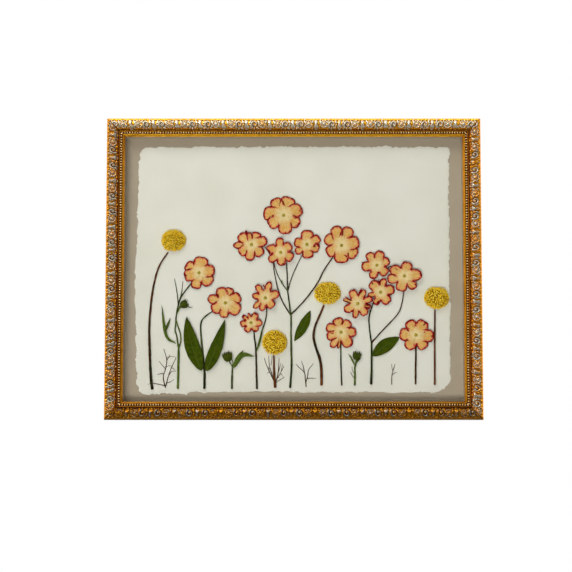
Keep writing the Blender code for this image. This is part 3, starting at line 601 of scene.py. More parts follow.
def plated(name, colour, roughness):
    """Plated sheet metal with fine drawn scratches and dull spots."""
    finish = Finish(name, roughness, 1.0)
    spots = finish.speckle(2.5, 4.0)
    finish.shade(Base_Color=finish.mix(finish.span(spots, 0.4, 0.7, 0.0, 0.6), colour,
                                       tuple(0.6 * part for part in colour)))
    finish.shade(Roughness=finish.span(spots, 0.3, 0.7, roughness, roughness + 0.2))
    finish.bump(finish.speckle(0.25, 2.0, 0.5, (0.08, 1, 1)), 0.02, 0.5)
    return finish.material


def petal_finish():
    """Papery petals: a cream throat, tan blades with fine veins and a dark red rim."""
    look = bpy.context.scene.flower_specimens
    finish = Finish("dried_petal", 0.62)
    rim = finish.value("rim")
    throat = finish.value("throat")
    warmth = finish.value("warmth")
    patches = finish.speckle(2.6, 4.0, 0.6)
    fine = finish.speckle(0.8, 3.0, 0.6)
    streaks = finish.node("ShaderNodeCombineXYZ",
                          {"X": finish.maths("MULTIPLY", finish.value("across"), 34.0),
                                                   "Y": finish.maths("MULTIPLY", throat, 0.08),
                                                   "Z": finish.maths("MULTIPLY", finish.value("petal"),
                                                                     90.0)})
    veins = finish.node("ShaderNodeTexNoise", {"Vector": streaks.outputs[0], "Scale": 1.0, "Detail": 2.0,
                                               "Roughness": 0.6}).outputs["Fac"]
    veins = finish.span(veins, 0.42, 0.66)
    blade = finish.mix(finish.span(warmth, 0.15, 1.0), look.petal, look.warm_petal)
    blade = finish.mix(finish.span(patches, 0.42, 0.62, 0.0, 0.95), blade, look.warm_petal)
    blade = finish.mix(finish.span(finish.speckle(1.7, 3.0, 0.6, (1, 1, 0.8)), 0.56, 0.7, 0.0, 0.5), blade,
                       (0.78, 0.56, 0.2))
    radius = finish.maths("ADD", throat, finish.span(patches, 0.3, 0.7, -1.6, 1.6))
    colour = finish.mix(finish.span(radius, 3.6, 9.5), look.throat, blade)
    colour = finish.mix(finish.maths("MULTIPLY", veins, finish.span(throat, 2.5, 8.0, 0.1, 0.5)),
                        colour, tuple(0.56 * part for part in look.warm_petal))
    edge = finish.maths("ADD", rim, finish.span(patches, 0.3, 0.7, -1.3, 0.7))
    edge = finish.maths("ADD", edge, finish.span(veins, 0.0, 1.0, 0.35, -0.75))
    edge = finish.maths("ADD", edge, finish.span(fine, 0.3, 0.7, -0.12, 0.12))
    reach = finish.span(throat, 4.0, 8.0, 4.0, 0.0)
    edge = finish.maths("DIVIDE", finish.maths("ADD", edge, reach), 4.0)
    red = finish.ramp(edge, (0.0, tuple(0.5 * part for part in look.rim)), (0.16, look.rim),
                      (0.3, (0.54, 0.055, 0.045)), (0.5, (0.66, 0.24, 0.11)), (0.8, (0.74, 0.40, 0.17)))
    bloom = finish.node("ShaderNodeMapRange", {"Value": edge, "From Min": 0.2, "From Max": 0.9,
                                               "To Min": 1.0, "To Max": 0.0}, interpolation_type="SMOOTHSTEP")
    colour = finish.mix(bloom.outputs["Result"], colour, red)
    eye = finish.value("eye")
    colour = finish.mix(eye, colour, finish.mix(finish.span(fine, 0.35, 0.65), look.eye, tuple(
        0.6 * part for part in look.eye)))
    finish.shade(Base_Color=colour)
    finish.shader.inputs["Specular IOR Level"].default_value = 0.05
    finish.bump(finish.maths("ADD", veins, finish.maths("MULTIPLY", fine, 0.6)), 0.10, 0.6)
    return finish.material


def floret_finish():
    """Mustard florets, each a little different, with painted shade brown down between them and a painted highlight
    on their tops.
    """
    look = bpy.context.scene.flower_specimens
    finish = Finish("yellow_floret", 0.75)
    shade = finish.value("shade")
    own = finish.maths("ADD", shade, finish.span(finish.speckle(1.5), 0.3, 0.7, -0.15, 0.15))
    # The ramp's dark brown foot is painted shade between the florets, and its brightest stop is their painted
    # highlight.
    colour = finish.ramp(own, (0.0, (0.26, 0.11, 0.002)), (0.2, tuple(0.66 * part for part in look.floret)),
                         (0.42, look.floret), (0.8, look.floret_painted_highlight))
    finish.shade(Base_Color=colour)
    finish.shader.inputs["Specular IOR Level"].default_value = 0.05
    finish.bump(finish.speckle(0.3, 2.0), 0.06, 0.5)
    return finish.material


def stem_finish():
    """Dried stems, from brown by near black to green, with long fibres."""
    look = bpy.context.scene.flower_specimens
    finish = Finish("dried_stem", 0.55)
    fibres = finish.value("fibre")
    blotches = finish.speckle(3.2, 4.0, 0.6, (1, 1, 0.35))
    tone = finish.maths("ADD", finish.value("tone"), finish.span(blotches, 0.3, 0.7, -0.16, 0.16))
    colour = finish.ramp(tone, (0.02, look.brown_stem), (0.3, tuple(0.36 * part for part in look.brown_stem)),
                         (0.52, look.dark_stem), (0.74, tuple(0.4 * part for part in look.green_stem)),
                         (0.98, look.green_stem))
    light = finish.mix(0.35, colour, (0.30, 0.22, 0.08))
    colour = finish.mix(finish.maths("MULTIPLY", fibres, finish.span(blotches, 0.5, 0.7, 0.0, 0.45)),
                        colour, light)
    finish.shade(Base_Color=colour)
    finish.shader.inputs["Specular IOR Level"].default_value = 0.05
    finish.bump(finish.maths("ADD", fibres, finish.speckle(0.5, 3.0, 0.6, (1, 1, 0.3))), 0.08, 0.6)
    return finish.material


def leaf_finish():
    """Pressed leaf: dark green with paler veins, yellower and spotted in patches."""
    look = bpy.context.scene.flower_specimens
    finish = Finish("dried_leaf", 0.5)
    patches = finish.speckle(6.0, 4.0, 0.6)
    spots = finish.speckle(1.5, 3.0, 0.6)
    colour = finish.mix(finish.span(patches, 0.35, 0.7), look.leaf, tuple(
        part * factor for part, factor in zip(look.leaf, (2.1, 1.6, 0.8))))
    colour = finish.mix(finish.span(spots, 0.58, 0.72, 0.0, 0.75), colour, tuple(
        0.25 * part for part in look.leaf))
    vein = finish.value("vein")
    colour = finish.mix(finish.maths("MULTIPLY", vein, 0.3), colour, (0.13, 0.17, 0.03))
    # Darker within 0.9 mm of the rim: painted shade along the edges of the buds' overlapping sepals, and a darker
    # margin on the leaves.
    colour = finish.mix(finish.span(finish.value("rim"), 0.0, 0.9, 0.6, 0.0), colour, (0.035, 0.03, 0.008))
    finish.shade(Base_Color=colour)
    finish.shader.inputs["Specular IOR Level"].default_value = 0.05
    finish.shade(Roughness=finish.span(spots, 0.3, 0.7, 0.4, 0.62))
    finish.bump(finish.maths("ADD", vein, finish.maths("MULTIPLY", spots, 0.7)), 0.14, 0.7)
    return finish.material


# The moulding


def moulding_rail(side, material):
    """The rail's plain body: rim, bed, groove, fillet, bead bed and lip, mitred at both ends."""
    half = rail_half(side)
    section = np.array(MOULDING_SECTION)
    inset, depth, leaf = section.T
    spans = np.linspace(-1, 1, 41)
    rows, columns = len(spans), len(section)
    along = spans[:, None] * (half - 0.1 - inset)[None, :]
    points = on_rail(side, along, inset[None, :], depth[None, :]).reshape(-1, 3)
    faces, ends = bar_faces(rows, columns)
    shells = Shells("leaf", "rub")
    shells.add(points, faces, ends, leaf=np.tile(leaf, rows))
    return shells.piece("moulding_" + side, material, "gilt_moulding", "rail_" + side, sharp_angle=50)


class Relief:
    """The height and gilding of one repeat of the ornament, along by across, pressed shape by shape."""

    STEP = 0.12
    HALF_ACROSS = 12.0

    def __init__(self, repeat):
        self.repeat = repeat
        along = np.arange(0, repeat, self.STEP)
        across = np.arange(-self.HALF_ACROSS, self.HALF_ACROSS, self.STEP)
        self.along, self.across = np.meshgrid(along, across, indexing="ij")
        self.height = np.zeros(self.along.shape)
        self.leaf = np.full(self.along.shape, 0.66)
        self.rub = np.zeros(self.along.shape)

    def press(self, shape, leaf, rub):
        higher = shape > self.height
        self.height = np.where(higher, shape, self.height)
        self.leaf = np.where(higher, leaf, self.leaf)
        self.rub = np.where(higher, rub, self.rub)

    def local(self, along, across):
        """Distances from a place, taken round the repeat."""
        away = (self.along - along + self.repeat / 2) % self.repeat - self.repeat / 2
        return away, self.across - across

    def boss(self, along, across, radius, flutes, height, leaf, rub, twist=0.0):
        """A round boss, cut into petals where it has flutes."""
        x, v = self.local(along, across)
        away = np.hypot(x, v) / radius
        dome = np.sqrt(np.clip(1 - away ** 2, 0, 1))
        cut = np.abs(np.cos(flutes / 2 * (np.arctan2(v, x) + twist))) if flutes else 1.0
        petals = 1 - (1 - cut) * 0.85 * smoothstep(0.15, 0.55, away)
        self.press(height * dome ** 0.6 * petals, leaf, rub)

    def ring(self, along, across, radius, width, start, end, height, leaf, rub):
        x, v = self.local(along, across)
        angle = (np.degrees(np.arctan2(v, x)) - start) % 360
        inside = smoothstep(-1, 12, angle) * smoothstep(end - start + 1, end - start - 12, angle)
        crest = np.exp(-((np.hypot(x, v) - radius) / width) ** 2) * (0.86 + 0.14 * np.cos(np.radians(12 * angle)))
        self.press(height * crest * np.where(angle < end - start, inside, 0), leaf, rub)

    def lobe(self, along, across, direction, length, width, height, leaf, rub):
        """A pointed leaf lobe with a groove down its middle."""
        x, v = self.local(along, across)
        turn = math.radians(direction)
        out = (x * math.cos(turn) + v * math.sin(turn)) / length
        side = -x * math.sin(turn) + v * math.cos(turn)
        half = width * np.sqrt(np.clip(np.sin(np.clip(out, 0, 1) ** 0.75 * math.pi), 0, 1)) + 1e-6
        body = np.sqrt(np.clip(1 - (side / half) ** 2, 0, 1)) * (1 - 0.3 * np.clip(out, 0, 1))
        groove = 1 - 0.45 * np.exp(-((side / (0.24 * width)) ** 2))
        self.press(np.where((out > 0) & (out < 1), height * body ** 0.7 * groove, 0), leaf, rub)

    def scroll(self, points, thick, thin, height, leaf, rub):
        """A round-backed scroll along a line, tapering from its thick end."""
        line = smooth_line(points, 0.4)
        best = np.zeros(self.along.shape)
        for index, (along, across) in enumerate(line):
            radius = thick + (thin - thick) * index / (len(line) - 1)
            x, v = self.local(along, across)
            best = np.maximum(best,
                              np.sqrt(np.clip(1 - (x * x + v * v) / radius ** 2, 0, 1)) * radius / thick)
        self.press(height * best ** 0.7, leaf, rub)

    def blurred(self, size):
        """The height, smoothed over size millimetres."""
        rows, columns = self.height.shape
        along = np.fft.fftfreq(rows, self.STEP)[:, None]
        across = np.fft.rfftfreq(columns, self.STEP)[None, :]
        soften = np.exp(-2 * (math.pi * size) ** 2 * (along ** 2 + across ** 2))
        return np.fft.irfft2(np.fft.rfft2(self.height) * soften, s=self.height.shape)

    def spiral(self, along, across, radius, start, turns, thick, height, leaf, rub):
        """A scroll that curls in to its middle, anticlockwise for positive turns."""
        share = np.linspace(0, 1, 15)
        angle = np.radians(start) + 2 * math.pi * turns * share
        away = radius * (1 - 0.78 * share)
        points = np.stack([along + away * np.cos(angle), across + away * np.sin(angle)], -1)
        self.scroll(points, thick, 0.7 * thick, height, leaf, rub)

    def gild_with_painted_shade(self):
        """Leave umber in the gaps, partly the wash that settles there and partly painted shade, and pewter where
        the relief stands above what is round it.
        """
        proud = self.height - self.blurred(1.0)
        fine = self.height - self.blurred(0.4)
        # Painted shade and highlight: leaf falls towards umber where the relief sits lower than round it and rises
        # on the small crowns.
        self.leaf = np.clip(self.leaf + 1.1 * np.minimum(proud + 0.05, 0.15) + 1.6 * np.minimum(fine, 0.08),
                            0, 1)
        self.rub = self.rub * smoothstep(-0.02, 0.2, proud)


def ornament_relief(repeat):
    """A running pattern of rosettes, curled scrolls and sprays of leaf lobes, each a little different."""
    relief = Relief(repeat)
    chance = np.random.default_rng(23)
    cells = round(repeat / ORNAMENT_CELL)
    cell = repeat / cells
    for scallop in range(2 * cells):
        place = (scallop + 0.5) * cell / 2
        relief.boss(place, -5.6, 2.1, 0, 0.66, 1.0, 0.0)
    relief.press(0.4 * np.exp(-((relief.across + 7.3) / 0.9) ** 2), 1.0, 0.0)
    for number in range(cells):
        place = number * cell
        side = 1 if number % 2 else -1
        motif = ("rosette", "curl", "spray", "curl", "rosette", "spray")[number % 6]
        rub = chance.uniform(0.55, 1.0)
        shift = chance.uniform(-0.3, 0.3)
        if motif == "rosette":
            relief.ring(place, shift, 3.25, 0.62, 0, 359, 0.85, 0.85, rub)
            relief.boss(place, shift, 2.75, 7, 0.9, 0.9, 0.9 * rub, chance.uniform(0, 1))
            relief.boss(place, shift, 1.0, 0, 1.0, 1.0, 0.2)
        elif motif == "curl":
            relief.spiral(place, 0.4 * side, 3.4, 90 * side + 40, 1.15 * side, 0.95, 1.0, 0.9, rub)
            relief.boss(place, 0.4 * side, 0.95, 0, 0.95, 1.0, 0.3)
            for direction in (-35, 5, 45):
                turn = math.radians(90 * side + direction * side)
                relief.lobe(place + 3.0 * math.cos(turn), 0.4 * side + 3.0 * math.sin(turn),
                            math.degrees(turn),
                            3.0, 0.85, 0.8, 0.95, 0.4 * rub)
        else:
            for order, direction in enumerate((-62, -84, -106, -128)):
                reach = 8.6 - 0.7 * abs(order - 1.5)
                relief.lobe(place - 2.2 + 1.5 * order, 3.4, direction, reach, 0.85, 0.96, 0.8, rub)
            relief.ring(place, 4.1, 1.25, 0.5, 0, 359, 0.85, 1.0, 0.3)
        for height in (-4.3, 4.5):
            relief.boss(place + cell / 2 + chance.uniform(-0.5, 0.5), height, 1.0, 0, 0.75, 1.0, 0.15)
        relief.lobe(place + cell / 2 - 0.9 * side, 3.6, -90 + 28 * side, 4.6, 0.8, 0.85, 0.95, 0.5 * rub)
        relief.lobe(place + cell / 2 + 0.9 * side, -0.2, -90 - 24 * side, 4.2, 0.8, 0.85, 0.95, 0.7 * rub)
    relief.gild_with_painted_shade()
    return relief


def sample(relief, grid, along, across):
    """Read a grid of the relief between its points."""
    rows, columns = grid.shape
    x = (along % relief.repeat) / relief.STEP
    v = np.clip((across + relief.HALF_ACROSS) / relief.STEP, 0, columns - 1.001)
    row, column = np.floor(x).astype(int), np.floor(v).astype(int)
    fx, fv = x - row, v - column
    row, after = row % rows, (row + 1) % rows
    low = grid[row, column] * (1 - fx) + grid[after, column] * fx
    high = grid[row, column + 1] * (1 - fx) + grid[after, column + 1] * fx
    return low * (1 - fv) + high * fv


def ornament_rail(side, relief, phase, material):
    """The cast ornament that is glued along the rail's cushion, closed underneath."""
    look = bpy.context.scene.flower_frame
    half = rail_half(side)
    bed = smooth_line(ORNAMENT_BED, 0.36)
    lengths = np.concatenate([[0], np.cumsum(np.linalg.norm(np.diff(bed, axis=0), axis=1))])
    peak = np.argmin(np.linalg.norm(bed - ORNAMENT_BED[BED_PEAK], axis=1))
    across = lengths - lengths[peak]
    tangent = np.gradient(bed, axis=0)
    tangent /= np.linalg.norm(tangent, axis=1)[:, None]
    normal = np.stack([-tangent[:, 1], tangent[:, 0]], -1)
    spans = np.linspace(-1, 1, int(2 * half / 0.37))
    along = spans[:, None] * (half - bed[:, 0])[None, :]
    spread = np.broadcast_to(across, along.shape)
    height = sample(relief, relief.height, along - phase, spread)
    leaf = sample(relief, relief.leaf, along - phase, spread)
    rub = sample(relief, relief.rub, along - phase, spread)
    crispness = smoothstep(-0.2, 0.7, half - bed[:, 0] - np.abs(along) - 0.2)
    swell = 0.12 + 0.88 * smoothstep(-8.0, -4.5, across)
    raised = (height * crispness * swell)[..., None] * look.ornament_height / MM * normal
    surface = bed + raised
    under = np.array(((12.0, 19.2), (7.0, 21.0), (0.8, 17.2)))
    inset = np.concatenate([surface[..., 0], np.broadcast_to(under[:, 0], (len(spans), 3))], 1)
    depth = np.concatenate([surface[..., 1], np.broadcast_to(under[:, 1], (len(spans), 3))], 1)
    rows, columns = inset.shape
    points = on_rail(side, spans[:, None] * (half - inset - 0.13), inset, depth).reshape(-1, 3)
    faces, ends = bar_faces(rows, columns)
    padding = np.zeros((rows, 3))
    shells = Shells("leaf", "rub")
    shells.add(points, faces, ends,
               leaf=np.concatenate([leaf * (0.6 + 0.4 * crispness), padding], 1).ravel(),
               rub=np.concatenate([rub * crispness, padding], 1).ravel())
    return shells.piece("ornament_" + side, material, "gilt_moulding")


# Geometry Nodes


def new_tree(name, *inputs):
    """A node tree that makes geometry, with named number inputs given as (name, default)."""
    tree = bpy.data.node_groups.new(name, "GeometryNodeTree")
    tree.interface.new_socket("Geometry", in_out="INPUT", socket_type="NodeSocketGeometry")
    for input_name, kind, default in inputs:
        socket = tree.interface.new_socket(input_name, in_out="INPUT", socket_type="NodeSocket" + kind)
        socket.default_value = default
    tree.interface.new_socket("Geometry", in_out="OUTPUT", socket_type="NodeSocketGeometry")
    return tree


def finish_tree(tree, instances, material, also=None):
    """End a tree in real geometry with its finish set."""
    real = grow(tree, "GeometryNodeRealizeInstances", {"Geometry": instances}).outputs[0]
    if also is not None:
        joined = tree.nodes.new("GeometryNodeJoinGeometry")
        tree.links.new(real, joined.inputs[0])
        tree.links.new(also, joined.inputs[0])
        real = joined.outputs[0]
    smooth = grow(tree, "GeometryNodeSetShadeSmooth", {"Geometry": real}).outputs[0]
    painted = grow(tree, "GeometryNodeSetMaterial", {"Geometry": smooth, "Material": material}).outputs[0]
    grow(tree, "NodeGroupOutput", {"Geometry": painted})


def grown_mesh(name, mesh, tree, **values):
    """The mesh that a tree makes from another, as plain faces."""
    obj = bpy.data.objects.new(name + "_seed", mesh)
    bpy.context.scene.collection.objects.link(obj)
    modifier = obj.modifiers.new(tree.name, "NODES")
    modifier.node_group = tree
    named = {item.name: item.identifier for item in tree.interface.items_tree if item.in_out == "INPUT"}
    for key, value in values.items():
        modifier[named[key.replace("_", " ").capitalize()]] = value
    bpy.context.view_layer.update()
    graph = bpy.context.evaluated_depsgraph_get()
    made = bpy.data.meshes.new_from_object(obj.evaluated_get(graph))
    obj.modifiers.remove(modifier)
    bpy.data.objects.remove(obj)
    return made


def bead_tree(material):
    """Beads in a row along X, from a line's half length and a pitch."""
    tree = new_tree("bead_row", ("Half length", "Float", 0.1), ("Pitch", "Float", 0.003),
                    ("Bead width", "Float", 0.0025))
    given = tree.nodes.new("NodeGroupInput").outputs
    whole = reckon(tree, "MULTIPLY", given["Half length"], 2.0)
    shares = reckon(tree, "DIVIDE", whole, given["Pitch"])
    gaps = reckon(tree, "ROUND", shares)
    count = reckon(tree, "ADD", gaps, 1.0)
    pitch = reckon(tree, "DIVIDE", whole, gaps)
    start = reckon(tree, "MULTIPLY", given["Half length"], -1.0)
    first = grow(tree, "ShaderNodeCombineXYZ", {"X": start}).outputs[0]
    stride = grow(tree, "ShaderNodeCombineXYZ", {"X": pitch}).outputs[0]
    line = grow(tree, "GeometryNodeMeshLine", {"Count": count, "Start Location": first, "Offset": stride})
    radius = reckon(tree, "MULTIPLY", given["Bead width"], 0.5)
    bead = grow(tree, "GeometryNodeMeshUVSphere", {"Segments": 12, "Rings": 8, "Radius": radius})
    place = tree.nodes.new("GeometryNodeInputPosition").outputs[0]
    height = grow(tree, "ShaderNodeSeparateXYZ", {0: place}).outputs["Z"]
    crown = reckon(tree, "DIVIDE", height, radius)
    marked = grow(tree, "GeometryNodeStoreNamedAttribute", {"Geometry": bead.outputs[0], "Name": "crown",
                                                            "Value": crown}, data_type="FLOAT",
                                                            domain="POINT")
    wobble = grow(tree, "FunctionNodeRandomValue", {2: 0.94, 3: 1.05, "Seed": 11},
                  data_type="FLOAT").outputs[1]
    wide = reckon(tree, "MULTIPLY", wobble, 1.28)
    sizes = grow(tree, "ShaderNodeCombineXYZ", {"X": 0.86, "Y": wide, "Z": wobble}).outputs[0]
    row = grow(tree, "GeometryNodeInstanceOnPoints",
               {"Points": line.outputs[0], "Instance": marked.outputs[0],
                                                      "Scale": sizes})
    finish_tree(tree, row.outputs[0], material)
    return tree


def bead_rail(side, tree, material):
    look = bpy.context.scene.flower_frame
    half = (rail_half(side) - BEAD_INSET - 1.0) * MM
    mesh = grown_mesh("beads_" + side, bpy.data.meshes.new("row"), tree, half_length=half,
                      pitch=look.bead_pitch, bead_width=look.bead_width)
    co = np.empty(len(mesh.vertices) * 3, np.float32)
    mesh.vertices.foreach_get("co", co)
    co = co.reshape(-1, 3) / MM
    placed = on_rail(side, co[:, 0], BEAD_INSET + co[:, 1], BEAD_DEPTH + co[:, 2])
    mesh.vertices.foreach_set("co", placed.astype(np.float32).ravel())
    if side in ("bottom", "right"):
        mesh.flip_normals()
    mesh.update()
    return keep(mesh, "beads_" + side, material, "gilt_moulding")


def floret_tree(material):
    """Florets set close over a dome, each leaning and coloured a little differently."""
    tree = new_tree("florets", ("Spacing", "Float", 0.0009), ("Seed", "Int", 1))
    given = tree.nodes.new("NodeGroupInput").outputs
    spread = grow(tree, "GeometryNodeDistributePointsOnFaces", {
        "Mesh": given["Geometry"], "Distance Min": given["Spacing"], "Density Max": 4.0e6,
        "Seed": given["Seed"]}, distribute_method="POISSON")
    wide = reckon(tree, "MULTIPLY", given["Spacing"], 0.60)
    narrow = reckon(tree, "MULTIPLY", given["Spacing"], 0.40)
    tall = reckon(tree, "MULTIPLY", given["Spacing"], 1.5)
    floret = grow(tree, "GeometryNodeMeshCone", {"Vertices": 6, "Side Segments": 2, "Radius Top": wide,
                                                 "Radius Bottom": narrow, "Depth": tall},
                  fill_type="TRIANGLE_FAN").outputs["Mesh"]
    place = tree.nodes.new("GeometryNodeInputPosition").outputs[0]
    parts = grow(tree, "ShaderNodeSeparateXYZ", {0: place}).outputs
    flat = grow(tree, "ShaderNodeCombineXYZ", {"X": parts["X"], "Y": parts["Y"]}).outputs[0]
    away = grow(tree, "ShaderNodeVectorMath", {0: flat}, operation="LENGTH").outputs["Value"]
    # Painted shade and highlight: each floret is painted darker at its foot and lighter towards the rim of its top.
    share = reckon(tree, "DIVIDE", away, wide)
    rise = reckon(tree, "DIVIDE", parts["Z"], tall)
    rise = ranged(tree, rise, 0.0, 1.0, -0.25, 0.4)
    tone = reckon(tree, "MULTIPLY_ADD", share, 0.42, rise)
    random_tone = grow(tree, "FunctionNodeRandomValue", {2: -0.22, 3: 0.26, "Seed": 5},
                       data_type="FLOAT").outputs[1]
    sizes = grow(tree, "FunctionNodeRandomValue", {2: 0.78, 3: 1.12, "Seed": 6}, data_type="FLOAT").outputs[1]
    marked = grow(tree, "GeometryNodeStoreNamedAttribute", {"Geometry": floret, "Name": "own", "Value": tone},
                  data_type="FLOAT", domain="POINT").outputs[0]
    lean = grow(tree, "FunctionNodeRandomValue", {0: (-0.22, -0.22, -3.0), 1: (0.22, 0.22, 3.0), "Seed": 7},
                data_type="FLOAT_VECTOR").outputs[0]
    turned = grow(tree, "FunctionNodeRotateRotation", {
        "Rotation": spread.outputs["Rotation"],
        "Rotate By": grow(tree, "FunctionNodeEulerToRotation", {0: lean}).outputs[0]}, rotation_space="LOCAL")
    planted = grow(tree, "GeometryNodeInstanceOnPoints", {
        "Points": spread.outputs["Points"], "Instance": marked, "Rotation": turned.outputs[0],
        "Scale": sizes}).outputs[0]
    differing = grow(tree, "GeometryNodeStoreNamedAttribute", {
        "Geometry": planted, "Name": "differs", "Value": random_tone}, data_type="FLOAT", domain="INSTANCE")
    real = grow(tree, "GeometryNodeRealizeInstances", {"Geometry": differing.outputs[0]}).outputs[0]
    read = [grow(tree, "GeometryNodeInputNamedAttribute", {"Name": name}, data_type="FLOAT").outputs[0]
            for name in ("own", "differs")]
    both = reckon(tree, "ADD", read[0], read[1])
    shaded = grow(tree, "GeometryNodeStoreNamedAttribute", {"Geometry": real, "Name": "shade", "Value": both},
                  data_type="FLOAT", domain="POINT").outputs[0]
    finish_tree(tree, shaded, material, given["Geometry"])
    return tree


def dome(middle, half_width, half_height, dents):
    """A closed low dome on the sheet, dented at its rim as given."""
    look = bpy.context.scene.flower_specimens
    rings, around = 12, 56
    angles = np.linspace(0, 2 * math.pi, around, endpoint=False)
    reach = np.ones(around)
    for direction, depth, spread in dents:
        away = (np.degrees(angles) - direction + 180) % 360 - 180
        reach -= depth * np.exp(-(away / spread) ** 2)
    reach *= 1 + 0.012 * np.sin(5 * angles + middle[0])
    rise = look.ball_rise / MM
    inner = 0.9
    points = [on_sheet(middle[0], middle[1], PAPER_FRONT + 0.35 + rise)[None]]
    for ring in range(1, rings + 1):
        lift = math.pi / 2 * ring / rings
        share = math.sin(lift) * reach * inner
        points.append(on_sheet(middle[0] + half_width * share * np.cos(angles),
                               middle[1] + half_height * share * np.sin(angles),
                               PAPER_FRONT + 0.35 + rise * math.cos(lift) ** 0.9))
    points.append(on_sheet(middle[0], middle[1], PAPER_FRONT + 0.2)[None])
    faces = dome_faces(rings, around)
    points = np.concatenate(points)
    if signed_volume(points, faces) < 0:
        faces = [tuple(reversed(face)) for face in faces]
    mesh = bpy.data.meshes.new("dome")
    mesh.from_pydata(points.tolist(), [], faces)
    return mesh


def billy_button(number, tree, material):
    middle, half_width, half_height, dents = BALLS[number]
    look = bpy.context.scene.flower_specimens
    mesh = grown_mesh("florets", dome(middle, half_width, half_height, dents), tree,
                      spacing=look.floret_spacing, seed=number + 3)
    return keep(mesh, "billy_button_%d" % (number + 1), material, "yellow_floret", "ball_%d" % (number + 1))


# The sheet


SHEET_EDGE = (
    (-158.8, -127.6), (-151.5, -129.6), (-148, -129.0), (-113, -129.3), (-108.5, -129.0), (-106.5, -126.9),
    (-60, -127.4), (30, -127.2), (120, -127.6), (148, -127.4), (155.5, -124.6), (160.2, -118.5), (161.6, -110),
    (161.6, -40), (161.2, 30), (161.7, 100), (161.8, 122), (160.8, 126.9), (157, 127.9), (80, 127.5), (0, 127.9),
    (-80, 127.6), (-148, 127.4), (-155.5, 125.9), (-160.4, 121), (-162.2, 112), (-161.8, 60), (-163.4, 8),
    (-164.2, -20), (-163.0, -60), (-162.6, -100), (-162.2, -119), (-160.2, -123.0), (-161.0, -126.0),
)
EDGE_BANDS = (0.0, 0.35, 0.9, 1.8, 3.0)


def deckle_line(tear):
    """The sheet's torn edge, once round, with the way in from each of its points."""
    corners = np.array(SHEET_EDGE + SHEET_EDGE[:1])
    line = []
    for start, end in zip(corners[:-1], corners[1:]):
        count = max(1, int(np.linalg.norm(end - start) / 0.75))
        line.extend(start + (end - start) * part / count for part in range(count))
    line = np.array(line)
    for _ in range(4):
        line = (np.roll(line, 1, 0) + 2 * line + np.roll(line, -1, 0)) / 4
    ahead = np.roll(line, -2, 0) - np.roll(line, 2, 0)
    inward = np.stack([-ahead[:, 1], ahead[:, 0]], -1) / np.linalg.norm(ahead, axis=1)[:, None]
    rough = np.array([
        0.55 * noise.noise(Vector((x / 26, z / 26, 3.1))) + 0.75 * noise.noise(Vector((x / 8, z / 8, 8.4)))
        + 0.6 * noise.noise(Vector((x / 2.8, z / 2.8, 5.7)))
        + 0.6 * noise.noise(Vector((x / 1.3, z / 1.3, 2.2))) for x, z in line])
    return line + inward * (tear / MM * rough)[:, None], inward


def paper_swell(x, z):
    """How far handmade paper rises and falls across the sheet."""
    return np.array([0.12 * noise.noise(Vector((a / 40, b / 40, 1.0))) + 0.012 * noise.noise(
        Vector((a / 9, b / 4, 4.0))) for a, b in zip(x, z)])


def paper_sheet(material):
    look = bpy.context.scene.flower_sheet
    line, inward = deckle_line(look.tear)
    count = len(line)
    places, thin = [], []
    for band in EDGE_BANDS:
        places.append(line + inward * band)
        thin.append(np.full(count, 1 - smoothstep(0.0, 2.6, band + 0.35)))
    columns = np.arange(-154, 155, 3.2)
    rows = np.arange(-119, 121, 3.2)
    inner = np.array([(x + 1.6 * (index % 2), z) for index, z in enumerate(rows) for x in columns])
    places.append(inner)
    thin.append(np.zeros(len(inner)))
    places, thin = np.concatenate(places), np.concatenate(thin)
    edge = list(range(count))
    flat, _, faces, sources, _, _ = delaunay_2d_cdt([Vector(place) for place in places], [], [edge], 1, 1e-5)
    thin = np.array([thin[source[0]] for source in sources])
    flat = np.array([tuple(place) for place in flat])
    front = PAPER_FRONT - 0.06 - 0.3 * thin + paper_swell(*flat.T)
    back = np.minimum(front - 0.08, PAPER_BACK + 0.02)
    total = len(flat)
    points = np.concatenate([on_sheet(flat[:, 0], flat[:, 1], front), on_sheet(flat[:, 0], flat[:, 1], back)])
    used = {}
    for face in faces:
        for start, end in zip(face, face[1:] + face[:1]):
            used[(start, end)] = True
    rear = [tuple(corner + total for corner in reversed(face)) for face in faces]
    sides = [(end, start, start + total, end + total) for start, end in used if (end, start) not in used]
    shells = Shells()
    shells.add(points, [tuple(face) for face in faces] + rear + sides)
    return shells.piece("deckle_sheet", material, "handmade_paper", "paper_sheet", sharp_angle=60)


# The specimens


def thin_sheet(x, z, depth, thickness):
    """A closed shell between a grid of points on the sheet and the same grid set back."""
    rows, columns = x.shape
    count = rows * columns
    points = np.concatenate([on_sheet(x, z, depth).reshape(-1, 3),
                             on_sheet(x, z, depth - thickness).reshape(-1, 3)])
    faces = strip_faces(rows, columns)
    rear = [tuple(corner + count for corner in reversed(face)) for face in faces]
    rim = list(range(columns)) + [(row + 1) * columns - 1 for row in range(1, rows)]
    rim += [(rows - 1) * columns + column for column in reversed(range(columns - 1))]
    rim += [row * columns for row in reversed(range(1, rows - 1))]
    sides = [(end, start, start + count, end + count) for start, end in zip(rim, rim[1:] + rim[:1])]
    return points, faces + rear + sides


def petal_width(share, bluntness):
    """Half of a petal's width along it, from its foot to its tip, as a share of the greatest."""
    swelling = 0.42 + 0.58 * np.sin(math.pi / 2 * np.clip(share / 0.62, 0, 1)) ** 1.1
    closing = np.clip(1 - np.clip((share - 0.62) / 0.38, 0, 1) ** bluntness, 0, 1) ** (1 / bluntness)
    return np.where(share < 0.62, swelling, closing)


